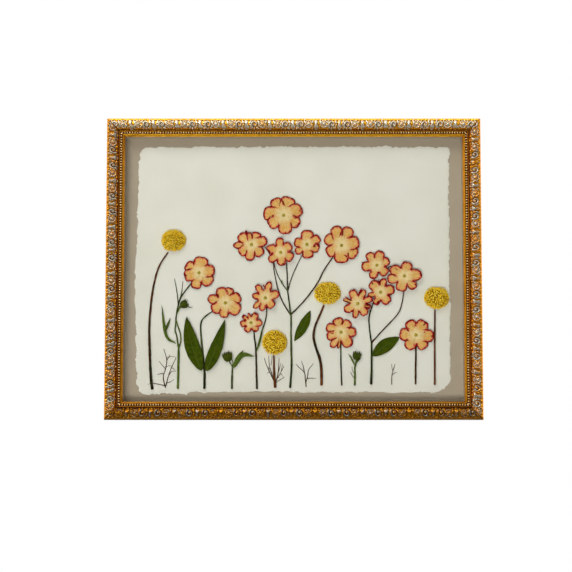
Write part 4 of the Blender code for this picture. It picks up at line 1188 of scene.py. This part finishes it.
def petal_shell(shells, eye, petal, base, order, seed):
    """One papery petal: ribbed, a little cupped and waved, over the petals made before it."""
    look = bpy.context.scene.flower_specimens
    direction, length, width, bluntness, warmth = petal
    steps = 34
    lift = np.sin(np.linspace(0, math.pi / 2, steps))
    share = lift ** 0.85
    half = width / 2 * petal_width(share, 1.15 * bluntness)
    out = -0.8 + share * (length + 0.8)
    out = np.concatenate([out, out[-2::-1]])
    side = np.concatenate([half, -half[-2::-1]])
    ruffle = np.array([noise.noise(Vector((a / 2.6, b / 2.6, seed * 3.7))) for a, b in zip(out, side)])
    ruffle += 0.8 * np.array([noise.noise(Vector((a / 0.9, b / 0.9, seed * 5.1))) for a, b in zip(out, side)])
    heart = 0.56 * length
    reach = np.hypot(out - heart, side)
    grown = 1 + 0.5 * ruffle / np.maximum(reach, 1) * smoothstep(0.1, 0.5, out / length)
    out, side = heart + (out - heart) * grown, side * grown
    count = len(out)
    scale = np.array(PETAL_RINGS + (0.0,))[:, None]
    along = heart + (out - heart) * scale
    across = side * scale
    rim = (1 - scale) * reach
    far = np.clip(along / length, 0, 1)
    spread = across / (along + 3.0)
    rib = np.array([[noise.noise(Vector((s * 26, a * 0.12, seed * 1.9))) for s, a in zip(*row)]
                    for row in zip(spread, along)])
    wave = np.array([[noise.noise(Vector((a / 6, b / 6, seed * 2.3))) for a, b in zip(*row)]
                     for row in zip(along, across)])
    droop = 0.95 if base < 9.5 else 0.2
    depth = base + 0.12 * order * smoothstep(-0.5, 3.5, along) + 0.15 - droop * smoothstep(0.2, 1.0, far)
    depth = depth + look.petal_relief / MM * (0.55 * wave * far + 0.2 * rib * smoothstep(0.1, 0.4, far)
                                              + 0.3 * far ** 3 - 0.2 * (across / width * 2) ** 2 * far)
    depth = depth + 0.10 * np.sin(3.0 * np.arctan2(across, along - heart) + seed) * (1 - (1 - scale) ** 0.5)
    turn = math.radians(direction)
    x = eye[0] + along * math.cos(turn) - across * math.sin(turn)
    z = eye[1] + along * math.sin(turn) + across * math.cos(turn)
    rings = len(scale) - 1
    front = on_sheet(x, z, depth)
    rear_rings = [2, 5]
    thickness = look.petal_thickness / MM
    rear = on_sheet(x[rear_rings], z[rear_rings], depth[rear_rings] - thickness)
    middles = np.concatenate([front[rings, :1],
                              on_sheet(x[rings, 0], z[rings, 0], depth[rings, 0] - thickness)[None]])
    points = np.concatenate([front[:rings].reshape(-1, 3), rear.reshape(-1, 3), middles])
    faces = strip_faces(rings, count, closed_columns=True)
    hub, rear_hub = (rings + 2) * count, (rings + 2) * count + 1
    inner, second, third = (rings - 1) * count, rings * count, (rings + 1) * count
    for k in range(count):
        after = (k + 1) % count
        faces.append((inner + k, inner + after, hub))
        faces.append((after, k, second + k, second + after))
        faces.append((second + after, second + k, third + k, third + after))
        faces.append((third + after, third + k, rear_hub))
    order_of = list(range(rings)) + rear_rings

    def spread_out(grid):
        grid = np.broadcast_to(grid, x.shape)
        return np.concatenate([grid[order_of].ravel(), grid[rings, :1], grid[rings, :1]])

    shells.add(points, faces, rim=spread_out(rim), throat=spread_out(far * 17), across=spread_out(spread),
               warmth=warmth, petal=(seed * 0.37) % 1)


def fold_shell(shells, eye, fold, depth):
    """A narrow fold of dark edge lying on a petal."""
    _, direction, start, end, width = fold
    share = np.linspace(0, 1, 15)
    line = start + (end - start) * share
    half = np.maximum(width / 2 * np.sin(math.pi * np.clip(share, 0.02, 0.98)) ** 0.7, 0.05)
    turn = math.radians(direction)
    sides = np.linspace(-1, 1, 7)
    bend = 0.3 * np.sin(math.pi * share * 1.3 + direction)
    across = half[:, None] * sides + bend[:, None]
    along = np.broadcast_to(line[:, None], across.shape)
    x = eye[0] + along * math.cos(turn) - across * math.sin(turn)
    z = eye[1] + along * math.sin(turn) + across * math.cos(turn)
    raised = depth + 0.28 * (1 - sides ** 2) + 0 * across
    points, faces = thin_sheet(x, z, raised, 0.25)
    rim = np.tile((0.12 + 0.45 * half[:, None] * (1 - np.abs(sides))).ravel(), 2)
    shells.add(points, faces, rim=rim, throat=np.tile(along.ravel(), 2), across=0.0, warmth=0.6, petal=0.5)


def flower_eye(shells, eye, depth, seed):
    """The pressed stamens: a low lumpy dome with a lobe towards each petal."""
    look = bpy.context.scene.flower_specimens
    around, rings = 30, 7
    radius = look.eye_radius / MM
    angles = np.linspace(0, 2 * math.pi, around, endpoint=False)
    edge = radius * (1 + 0.13 * np.cos(5 * angles + seed) + 0.08 * np.cos(11 * angles + 2 * seed))
    points = [on_sheet(eye[0], eye[1], depth + 0.55)[None]]
    for ring in range(1, rings + 1):
        share = ring / rings
        lumps = 0.16 * np.array([noise.noise(Vector((math.cos(a) * share * 2.6, math.sin(a) * share * 2.6,
                                                     seed)))
                                 for a in angles])
        points.append(on_sheet(eye[0] + edge * share * np.cos(angles), eye[1] + edge * share * np.sin(angles),
                               depth + 0.55 * math.sqrt(1 - share ** 2 * 0.97) + lumps * (1 - share ** 3)))
    points.append(on_sheet(eye[0], eye[1], depth - 0.2)[None])
    faces = dome_faces(rings, around)
    shells.add(np.concatenate(points), faces, rim=6.0, throat=0.0, across=0.0, warmth=0.3, petal=0.2, eye=1.0)


def flower_head(number, material):
    node = "flower_%02d" % (number + 1)
    eye, petals = FLOWERS[number]
    base = -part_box(node)[1].y / MM
    shells = Shells("rim", "throat", "across", "warmth", "petal", "eye")
    for order, petal in enumerate(petals):
        petal_shell(shells, eye, petal, base, order, number * 11 + order + 1)
    top = base + 0.12 * len(petals)
    for fold in FOLDS:
        if fold[0] == number:
            fold_shell(shells, eye, fold, top + 0.12)
    flower_eye(shells, eye, top + 0.05, number + 1.0)
    return shells.piece("flower_head_%02d" % (number + 1), material, "dried_petal", node)


def tube(shells, points, foot, tip, foot_tone, tip_tone, depth, seed, flatness=0.7):
    """A dried stem's branch: ribbed, swelling and thinning a little, closed at both ends."""
    line = smooth_line(points, 1.3)
    ahead = np.gradient(line, axis=0)
    ahead /= np.linalg.norm(ahead, axis=1)[:, None]
    lengths = np.concatenate([[0], np.cumsum(np.linalg.norm(np.diff(line, axis=0), axis=1))])
    share = lengths / lengths[-1]
    radius = foot + (tip - foot) * share
    radius = radius * (1 + 0.16 * wander(lengths, seed, 4.0) + 0.08 * wander(lengths, seed + 5, 1.6))
    line = line + 0.14 * np.stack([wander(lengths, seed + 9, 6.0), wander(lengths, seed + 13, 6.0)], -1)
    line = np.vstack([line[0] - ahead[0] * 0.25 * radius[0], line, line[-1] + ahead[-1] * 0.25 * radius[-1]])
    ahead = np.vstack([ahead[:1], ahead, ahead[-1:]])
    radius = np.concatenate([[0.55 * radius[0]], radius, [0.5 * radius[-1]]])
    share = np.concatenate([[0], share, [1]])
    angles = np.linspace(0, 2 * math.pi, 12, endpoint=False)
    ribbed = radius[:, None] * (1 + 0.07 * np.cos(4 * angles + seed))[None, :]
    side = ribbed * np.cos(angles)
    x = line[:, :1] - ahead[:, 1:] * side
    z = line[:, 1:] + ahead[:, :1] * side
    forward = depth + flatness * ribbed * np.sin(angles)
    rows, columns = x.shape
    faces, ends = bar_faces(rows, columns)
    fibre = np.tile(0.5 + 0.5 * np.cos(4 * angles + seed), rows)
    shells.add(on_sheet(x, z, forward).reshape(-1, 3), faces, ends,
               fibre=fibre, tone=np.repeat(foot_tone + (tip_tone - foot_tone) * share, columns))


def blade(shells, foot, middle, tip, width, depth):
    """A narrow blade with a folded midrib."""
    line = smooth_line((foot, middle, tip), 0.8)
    ahead = np.gradient(line, axis=0)
    ahead /= np.linalg.norm(ahead, axis=1)[:, None]
    share = np.linspace(0, 1, len(line))
    half = np.maximum(width / 2 * np.sin(math.pi * np.clip(share, 0, 0.985) ** 0.8) ** 0.8, 0.12)
    sides = np.linspace(-1, 1, 9)
    x = line[:, :1] - ahead[:, 1:] * half[:, None] * sides
    z = line[:, 1:] + ahead[:, :1] * half[:, None] * sides
    forward = depth + 0.3 * np.abs(sides) ** 0.8 + 0.15 * np.sin(7 * share)[:, None]
    points, faces = thin_sheet(x, z, forward, 0.22)
    fibre = np.tile((0.25 + 0.6 * (np.abs(sides) < 0.2) + 0 * half[:, None]).ravel(), 2)
    shells.add(points, faces, fibre=fibre, tone=0.9)


def stem(number, material):
    shells = Shells("fibre", "tone")
    depth = bpy.context.scene.flower_specimens.stem_depth / MM
    for order, (foot, tip, foot_tone, tip_tone, points) in enumerate(STEMS[number]):
        tube(shells, points, foot, tip, foot_tone, tip_tone, depth - 0.04 * order, number * 9 + order)
    for owner, foot, middle, tip, width in BLADES:
        if owner == number:
            blade(shells, foot, middle, tip, width, depth + 0.35)
    node = "stem_%02d" % (number + 1)
    return shells.piece("stalk_%02d" % (number + 1), material, "dried_stem", node, sharp_angle=60)


def twig(number, material):
    shells = Shells("fibre", "tone")
    for order, (radius, points) in enumerate(TWIGS[number]):
        tube(shells, points, radius, 0.5 * radius, 0.34, 0.22, PAPER_FRONT + 0.5, 200 + number * 20 + order)
    return shells.piece("twig_%d" % (number + 1), material, "dried_stem", sharp_angle=60)


def leaf(number, material):
    """A pressed leaf: a raised midrib, side veins that curve forwards, and a dry, buckled blade."""
    look = bpy.context.scene.flower_specimens
    node = "leaf_%d" % (number + 1)
    foot, tip, width, bow, widest = LEAVES[number]
    front = -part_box(node)[0].y / MM
    foot, tip = np.array(foot), np.array(tip)
    length = np.linalg.norm(tip - foot)
    ahead = (tip - foot) / length
    beside = np.array((-ahead[1], ahead[0]))
    share = np.linspace(0, 1, 110)
    middle = foot + share[:, None] * (tip - foot) + (bow * np.sin(math.pi * share))[:, None] * beside
    eased = np.clip(share, 0, 0.999) ** (math.log(0.5) / math.log(widest))
    half = np.maximum(width / 2 * np.sin(math.pi * eased) ** 0.78, 0.3)
    edge = np.array([1 + 0.05 * noise.noise(Vector((a * length / 5, number * 4.0, 0))) for a in share])
    sides = np.linspace(-1, 1, 45)
    across = (half * edge)[:, None] * sides
    x = middle[:, :1] + beside[0] * across
    z = middle[:, 1:] + beside[1] * across
    away = np.abs(across)
    pitch = length / 11
    phase = ((share * length)[:, None] - 0.75 * away + 0.012 * away ** 2 * 4) / pitch + 0.25 * (sides > 0)
    nearest = np.abs(phase - np.round(phase)) * pitch
    fading = smoothstep(1.0, 0.7, np.abs(sides)) * smoothstep(0.02, 0.12, share)[:, None]
    side_veins = np.exp(-(nearest / 0.32) ** 2) * fading
    midrib = np.exp(-(away / (0.55 * (1.15 - share))[:, None]) ** 2)
    vein = np.maximum(midrib, 0.6 * side_veins)
    buckle = np.array([[noise.noise(Vector((a / 5, b / 5, number + 0.5))) for a, b in zip(*row)]
                       for row in zip(x, z)])
    depth = front - 0.55 + look.leaf_relief / MM * (0.35 * vein + 0.7 * buckle + 0.25 * np.abs(sides) ** 2)
    points, faces = thin_sheet(x, z, depth, look.leaf_thickness / MM)
    shells = Shells("vein", "rim")
    rim = (1 - np.abs(sides)) * half[:, None]
    shells.add(points, faces, vein=np.tile(vein.ravel(), 2), rim=np.tile(rim.ravel(), 2))
    return shells.piece("pressed_leaf_%d" % (number + 1), material, "dried_leaf", node, sharp_angle=70)


def bud(number, material):
    """A closed bud: overlapping pointed sepals round a low body."""
    middle, length, width, direction = BUDS[number]
    node = "bud_%d" % (number + 1)
    back = -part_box(node)[1].y / MM
    turn = math.radians(direction)
    shells = Shells("vein", "rim")
    foot = np.array(middle) - 0.45 * length * np.array((math.cos(turn), math.sin(turn)))
    for order, (lean, reach,
                share_of_width) in enumerate(((-40, 0.94, 0.4), (40, 0.94, 0.4), (-19, 1.0, 0.42),
                                                           (20, 0.98, 0.42), (0, 0.88, 0.44))):
        share = np.linspace(0, 1, 24)
        sides = np.linspace(-1, 1, 11)
        half = width * share_of_width / 2 * np.maximum(np.sin(math.pi * share ** 0.64) ** 0.8, 0.1)
        along = share * reach * length
        across = half[:, None] * sides
        bent = turn + math.radians(lean) * (1.15 - 0.45 * share)[:, None]
        x = foot[0] + along[:, None] * np.cos(bent) - across * np.sin(bent)
        z = foot[1] + along[:, None] * np.sin(bent) + across * np.cos(bent)
        crown = 0.55 * (1 - sides ** 2) * np.sin(math.pi * share ** 0.8)[:, None]
        depth = back + 0.35 + 0.16 * order + crown
        points, faces = thin_sheet(x, z, depth, 0.3)
        vein = np.exp(-(across / 0.25) ** 2) + 0.4 * np.exp(-((np.abs(across) - 0.5 * half[:, None]) / 0.16) ** 2)
        # Halved so that the painted shade along each sepal's edge reaches further in.
        rim = 0.5 * (1 - np.abs(sides)) * half[:, None]
        shells.add(points, faces, vein=np.tile(vein.ravel(), 2), rim=np.tile(rim.ravel(), 2))
    return shells.piece("closed_bud_%d" % (number + 1), material, "dried_leaf", node, sharp_angle=70)


# Sizes and colours


def colour_property(name, description, default):
    return FloatVectorProperty(name=name, description=description, subtype="COLOR", size=3, min=0, max=1,
                               default=default)


def length_property(name, description, default):
    return FloatProperty(name=name, description=description, unit="LENGTH", min=0, precision=5,
                         default=default)


class FLOWERFRAME_PG_frame(bpy.types.PropertyGroup):
    gold: colour_property("Gold", "Gold leaf on the lip, the fillet and the scrolls", (0.84, 0.34, 0.016))
    pewter: colour_property("Pewter", "Silver rubbed on the ornament's high parts", (0.50, 0.46, 0.36))
    # Umber is the dark wash in the hollows and also carries painted shade in the ornament's gaps and between the
    # beads.
    umber: colour_property("Umber", "Dark wash in the hollows", (0.032, 0.017, 0.007))
    bole: colour_property("Bole", "Red clay that shows through worn leaf", (0.114, 0.02, 0.007))
    ornament_height: length_property("Ornament height", "How far the ornament stands off its bed", 2.15 * MM)
    ornament_repeat: length_property("Ornament repeat", "Length after which the ornament repeats", 96.0 * MM)
    bead_pitch: length_property("Bead pitch", "From the middle of one bead to the next", 2.64 * MM)
    bead_width: length_property("Bead width", "Width of a bead across the rail", 2.3 * MM)


class FLOWERFRAME_PG_sheet(bpy.types.PropertyGroup):
    paper: colour_property("Paper", "Cotton paper", (0.76, 0.75, 0.645))
    mat: colour_property("Mat board", "Board behind the sheet", (0.43, 0.365, 0.265))
    backing: colour_property("Backing board", "Hardboard at the back", (0.20, 0.115, 0.055))
    zinc: colour_property("Zinc", "Framer's tabs and nails", (0.50, 0.51, 0.53))
    brass: colour_property("Brass", "The hanger's plating", (0.62, 0.43, 0.16))
    tear: length_property("Deckle", "How far the torn edge wanders", 1.6 * MM)


class FLOWERFRAME_PG_specimens(bpy.types.PropertyGroup):
    petal: colour_property("Petal", "Blade of a petal", (0.74, 0.53, 0.20))
    warm_petal: colour_property("Warm petal", "Browner petals and patches", (0.72, 0.36, 0.07))
    throat: colour_property("Throat", "Cream round a flower's eye", (0.78, 0.62, 0.30))
    rim: colour_property("Rim", "Dark red edge of a petal", (0.30, 0.006, 0.009))
    eye: colour_property("Eye", "Stamens", (0.46, 0.36, 0.03))
    floret: colour_property("Floret", "Billy button florets", (0.97, 0.57, 0.004))
    # Painted highlight on the florets' tops.
    floret_painted_highlight: colour_property("Floret tip", "Brightest florets", (0.98, 0.74, 0.07))
    brown_stem: colour_property("Brown stem", "Brown stems and twigs", (0.156, 0.048, 0.013))
    dark_stem: colour_property("Dark stem", "Near black stems", (0.011, 0.014, 0.004))
    green_stem: colour_property("Green stem", "Green stems and blades", (0.091, 0.141, 0.017))
    leaf: colour_property("Leaf", "Pressed leaves and sepals", (0.0265, 0.0475, 0.0004))
    stem_depth: length_property("Stem depth", "Middle of the stems, forward from the rails' backs", 7.5 * MM)
    petal_thickness: length_property("Petal thickness", "Thickness of a petal", 0.15 * MM)
    petal_relief: length_property("Petal relief", "How far petals wave", 0.5 * MM)
    eye_radius: length_property("Eye radius", "Radius of the stamens", 1.6 * MM)
    leaf_thickness: length_property("Leaf thickness", "Thickness of a leaf", 0.25 * MM)
    leaf_relief: length_property("Leaf relief", "How far a leaf buckles", 0.5 * MM)
    ball_rise: length_property("Billy button rise", "Height of a pressed billy button", 5.6 * MM)
    floret_spacing: length_property("Floret spacing", "From one floret to the next", 1.3 * MM)


class FLOWERFRAME_PG_stage(bpy.types.PropertyGroup):
    key_power: FloatProperty(name="Key light", description="Power of the wide lamp in front and below",
                             unit="POWER", min=0, default=121.0)
    fill_power: FloatProperty(name="Fill light", description="Power of the soft lamp above", unit="POWER",
                              min=0,
                              default=8.0)
    glint_power: FloatProperty(name="Glints", description="Power of the small lamps that the gilding mirrors",
                               unit="POWER", min=0, default=1.6)
    ambient: FloatProperty(name="Ambient", description="Brightness of the room", min=0, default=0.40)
    floor_drop: length_property("Floor", "How far the floor lies below the frame", 1.4)
    distance: length_property("Camera distance", "From the camera to the glass", 1.5)


# Operators


class FLOWERFRAME_OT_moulding(bpy.types.Operator):
    """Make the gilt moulding's four rails"""

    bl_idname = "flower_frame.moulding"
    bl_label = "Gilt moulding"

    def execute(self, context):
        # Each rail's gilding carries its own painted light and shade.
        for side, tone, rail_silver_painted_light in RAIL_PAINTED_LIGHT:
            moulding_rail(side, gilding("painted_light_gilt_moulding_" + side, tone, rail_silver_painted_light))
        return {"FINISHED"}


class FLOWERFRAME_OT_ornament(bpy.types.Operator):
    """Make the cast ornament on the rails"""

    bl_idname = "flower_frame.ornament"
    bl_label = "Ornament"

    def execute(self, context):
        relief = ornament_relief(context.scene.flower_frame.ornament_repeat / MM)
        phases = {"top": -16.6, "bottom": 30.0, "left": 2.0, "right": 45.0}
        # Each rail's gilding carries its own painted light and shade.
        for side, tone, rail_silver_painted_light in RAIL_PAINTED_LIGHT:
            ornament_rail(side, relief, phases[side], gilding("painted_light_gilt_ornament_" + side, tone, rail_silver_painted_light))
        return {"FINISHED"}


class FLOWERFRAME_OT_beads(bpy.types.Operator):
    """Set the beads along the rails"""

    bl_idname = "flower_frame.beads"
    bl_label = "Beads"

    def execute(self, context):
        material = bead_gilding_with_painted_light()
        tree = bead_tree(material)
        for side in ("top", "bottom", "left", "right"):
            bead_rail(side, tree, material)
        return {"FINISHED"}


class FLOWERFRAME_OT_glass(bpy.types.Operator):
    """Finish the pane of glass"""

    bl_idname = "flower_frame.glass"
    bl_label = "Glass"

    def execute(self, context):
        paint_solid("glass", picture_glass())
        return {"FINISHED"}


class FLOWERFRAME_OT_boards(bpy.types.Operator):
    """Finish the mat board, the spacers and the backing board"""

    bl_idname = "flower_frame.boards"
    bl_label = "Boards"

    def execute(self, context):
        look = context.scene.flower_sheet
        mat = board("taupe_board", look.mat, (0.25, 0.21, 0.15), 0.8)
        for node in ("mat_board", "spacer_top", "spacer_bottom", "spacer_left", "spacer_right"):
            paint_solid(node, mat)
        paint_solid("backing_board", board("brown_board", look.backing, (0.30, 0.19, 0.10), 1.4))
        return {"FINISHED"}


class FLOWERFRAME_OT_sheet(bpy.types.Operator):
    """Make the deckle-edged sheet"""

    bl_idname = "flower_frame.sheet"
    bl_label = "Deckle sheet"

    def execute(self, context):
        paper_sheet(handmade_paper())
        return {"FINISHED"}


class FLOWERFRAME_OT_hardware(bpy.types.Operator):
    """Finish the framer's tabs, the hanger and its nails"""

    bl_idname = "flower_frame.hardware"
    bl_label = "Tabs and hanger"

    def execute(self, context):
        look = context.scene.flower_sheet
        zinc = plated("zinc_plate", look.zinc, 0.34)
        for node in ["tab_%d" % number for number in range(1, 7)] + ["hanger_nail_left", "hanger_nail_right"]:
            paint_solid(node, zinc)
        paint_solid("hanger", plated("brass_plate", look.brass, 0.28))
        return {"FINISHED"}


class FLOWERFRAME_OT_stems(bpy.types.Operator):
    """Make the stems, with their branches and blades"""

    bl_idname = "flower_frame.stems"
    bl_label = "Stems"

    def execute(self, context):
        material = stem_finish()
        for number in range(len(STEMS)):
            stem(number, material)
        for number in range(len(TWIGS)):
            twig(number, material)
        return {"FINISHED"}


class FLOWERFRAME_OT_leaves(bpy.types.Operator):
    """Make the pressed leaves and the closed buds"""

    bl_idname = "flower_frame.leaves"
    bl_label = "Leaves and buds"

    def execute(self, context):
        material = leaf_finish()
        for number in range(len(LEAVES)):
            leaf(number, material)
        for number in range(len(BUDS)):
            bud(number, material)
        return {"FINISHED"}


class FLOWERFRAME_OT_flowers(bpy.types.Operator):
    """Make the flower heads"""

    bl_idname = "flower_frame.flowers"
    bl_label = "Flower heads"

    def execute(self, context):
        material = petal_finish()
        for number in range(len(FLOWERS)):
            flower_head(number, material)
        return {"FINISHED"}


class FLOWERFRAME_OT_billy_buttons(bpy.types.Operator):
    """Make the billy buttons"""

    bl_idname = "flower_frame.billy_buttons"
    bl_label = "Billy buttons"

    def execute(self, context):
        material = floret_finish()
        tree = floret_tree(material)
        for number in range(len(BALLS)):
            billy_button(number, tree, material)
        return {"FINISHED"}


class FLOWERFRAME_OT_stage(bpy.types.Operator):
    """Set up the floor, the lamps, the room's light and the camera"""

    bl_idname = "flower_frame.stage"
    bl_label = "Floor, lamps and camera"

    def execute(self, context):
        look = context.scene.flower_stage
        middle = Vector((0, -0.022, CENTRE_Z))
        floor_mesh = bpy.data.meshes.new("floor")
        low = BOTTOM - look.floor_drop
        floor_mesh.from_pydata([(-2.5, -2.5, low), (2.5, -2.5, low), (2.5, 2.5, low), (-2.5, 2.5, low)], [],
                               [(0, 1, 2, 3)])
        floor = bpy.data.objects.new("floor", floor_mesh)
        context.scene.collection.objects.link(floor)
        finish = Finish("pale_floor", 0.9)
        finish.shader.inputs["Base Color"].default_value = (0.86, 0.86, 0.85, 1)
        floor_mesh.materials.append(finish.material)
        key = lamp("key", (-0.55, -2.3, -1.75), 2.4, look.key_power, middle)
        key.visible_glossy = False
        lamp("high_fill", (-0.5, -0.9, 1.0), 0.9, look.fill_power, middle)
        for name, across in (("left_glint", -0.8), ("right_glint", 0.7)):
            glint = lamp(name, (across, -1.0, 0.8), 0.22, look.glint_power, middle)
            glint.visible_diffuse = False
        room_light(look.ambient)
        camera_data = bpy.data.cameras.new("camera")
        camera_data.lens = 92.03
        camera_data.shift_x = -0.0135
        camera_data.shift_y = -0.0321
        camera = bpy.data.objects.new("camera", camera_data)
        context.scene.collection.objects.link(camera)
        rise = math.radians(-4.9)
        camera.location = middle + look.distance * Vector((0, -math.cos(rise), math.sin(rise)))
        camera.rotation_euler = (middle - camera.location).to_track_quat("-Z", "Y").to_euler()
        context.scene.camera = camera
        context.scene.view_settings.view_transform = "Standard"
        return {"FINISHED"}


def lamp(name, place, size, power, target):
    data = bpy.data.lights.new(name, "AREA")
    data.shape = "DISK"
    data.size = size
    data.energy = power
    obj = bpy.data.objects.new(name, data)
    obj.location = target + Vector(place)
    obj.rotation_euler = (target - obj.location).to_track_quat("-Z", "Y").to_euler()
    bpy.context.scene.collection.objects.link(obj)
    return obj


def room_light(strength):
    """White to the camera, and a soft room for the light: dark straight ahead, so the glass stays clear."""
    world = bpy.data.worlds.new("room")
    bpy.context.scene.world = world
    world.use_nodes = True
    tree = world.node_tree
    background = tree.nodes["Background"]
    way = grow(tree, "ShaderNodeTexCoord").outputs["Generated"]
    ahead = grow(tree, "ShaderNodeVectorMath", {0: way, 1: (0, -1, 0)},
                 operation="DOT_PRODUCT").outputs["Value"]
    clear = ranged(tree, ahead, 0.93, 0.98, 1.0, 0.0)
    rays = grow(tree, "ShaderNodeLightPath").outputs
    lit = grow(tree, "ShaderNodeVectorMath", {0: way, 1: (-0.3, 0, -0.85)},
               operation="DOT_PRODUCT").outputs["Value"]
    given = ranged(tree, lit, -0.8, 0.8, 0.62, 1.3)
    high = grow(tree, "ShaderNodeVectorMath", {0: way, 1: (-0.12, 0, 1)},
                operation="DOT_PRODUCT").outputs["Value"]
    front = ranged(tree, high, -0.3, 0.95, 0.04, 3.1)
    behind = ranged(tree, ahead, 0.25, -0.4, 0.0, 2.1)
    lower = ranged(tree, high, -0.9, 0.9, 2.4, 0.45)
    behind = reckon(tree, "MULTIPLY", behind, lower)
    low = ranged(tree, high, -0.35, -0.9, 0.0, 4.2)
    around = reckon(tree, "ADD", front, low)
    mirrored = reckon(tree, "ADD", around, behind)
    slope = grow(tree, "ShaderNodeMix", {0: rays["Is Glossy Ray"], 2: given, 3: mirrored},
                 data_type="FLOAT").outputs[0]
    level = reckon(tree, "MULTIPLY", slope, clear)
    level = reckon(tree, "MULTIPLY", level, strength)
    shown = grow(tree, "ShaderNodeMix", {0: rays["Is Camera Ray"], 2: level, 3: 1.0},
                 data_type="FLOAT").outputs[0]
    tree.links.new(shown, background.inputs["Strength"])
    background.inputs["Color"].default_value = (1, 1, 1, 1)


STEPS = (
    FLOWERFRAME_OT_stage, FLOWERFRAME_OT_moulding, FLOWERFRAME_OT_ornament, FLOWERFRAME_OT_beads,
    FLOWERFRAME_OT_glass, FLOWERFRAME_OT_boards, FLOWERFRAME_OT_sheet, FLOWERFRAME_OT_hardware,
    FLOWERFRAME_OT_stems, FLOWERFRAME_OT_leaves, FLOWERFRAME_OT_flowers, FLOWERFRAME_OT_billy_buttons,
)


class FLOWERFRAME_PT_panel(bpy.types.Panel):
    """The frame's pieces, in the order that they are made"""

    bl_idname = "FLOWERFRAME_PT_panel"
    bl_label = "Flower frame"
    bl_space_type = "VIEW_3D"
    bl_region_type = "UI"
    bl_category = "Flower frame"

    def draw(self, context):
        for group in GROUPS:
            box = self.layout.box()
            settings = getattr(context.scene, group)
            for name in settings.bl_rna.properties.keys():
                if name not in ("rna_type", "name"):
                    box.prop(settings, name)
        for step in STEPS:
            self.layout.operator(step.bl_idname)


GROUPS = {
    "flower_frame": FLOWERFRAME_PG_frame,
    "flower_sheet": FLOWERFRAME_PG_sheet,
    "flower_specimens": FLOWERFRAME_PG_specimens,
    "flower_stage": FLOWERFRAME_PG_stage,
}
CLASSES = (*GROUPS.values(), *STEPS, FLOWERFRAME_PT_panel)


def register():
    for made in CLASSES:
        bpy.utils.register_class(made)
    for name, group in GROUPS.items():
        setattr(bpy.types.Scene, name, PointerProperty(type=group))


def unregister():
    for name in GROUPS:
        delattr(bpy.types.Scene, name)
    for made in reversed(CLASSES):
        bpy.utils.unregister_class(made)


def main():
    register()
    bpy.ops.flower_frame.stage()
    bpy.ops.flower_frame.moulding()
    bpy.ops.flower_frame.ornament()
    bpy.ops.flower_frame.beads()
    bpy.ops.flower_frame.glass()
    bpy.ops.flower_frame.boards()
    bpy.ops.flower_frame.sheet()
    bpy.ops.flower_frame.hardware()
    bpy.ops.flower_frame.stems()
    bpy.ops.flower_frame.leaves()
    bpy.ops.flower_frame.flowers()
    bpy.ops.flower_frame.billy_buttons()


if __name__ == "__main__":
    main()
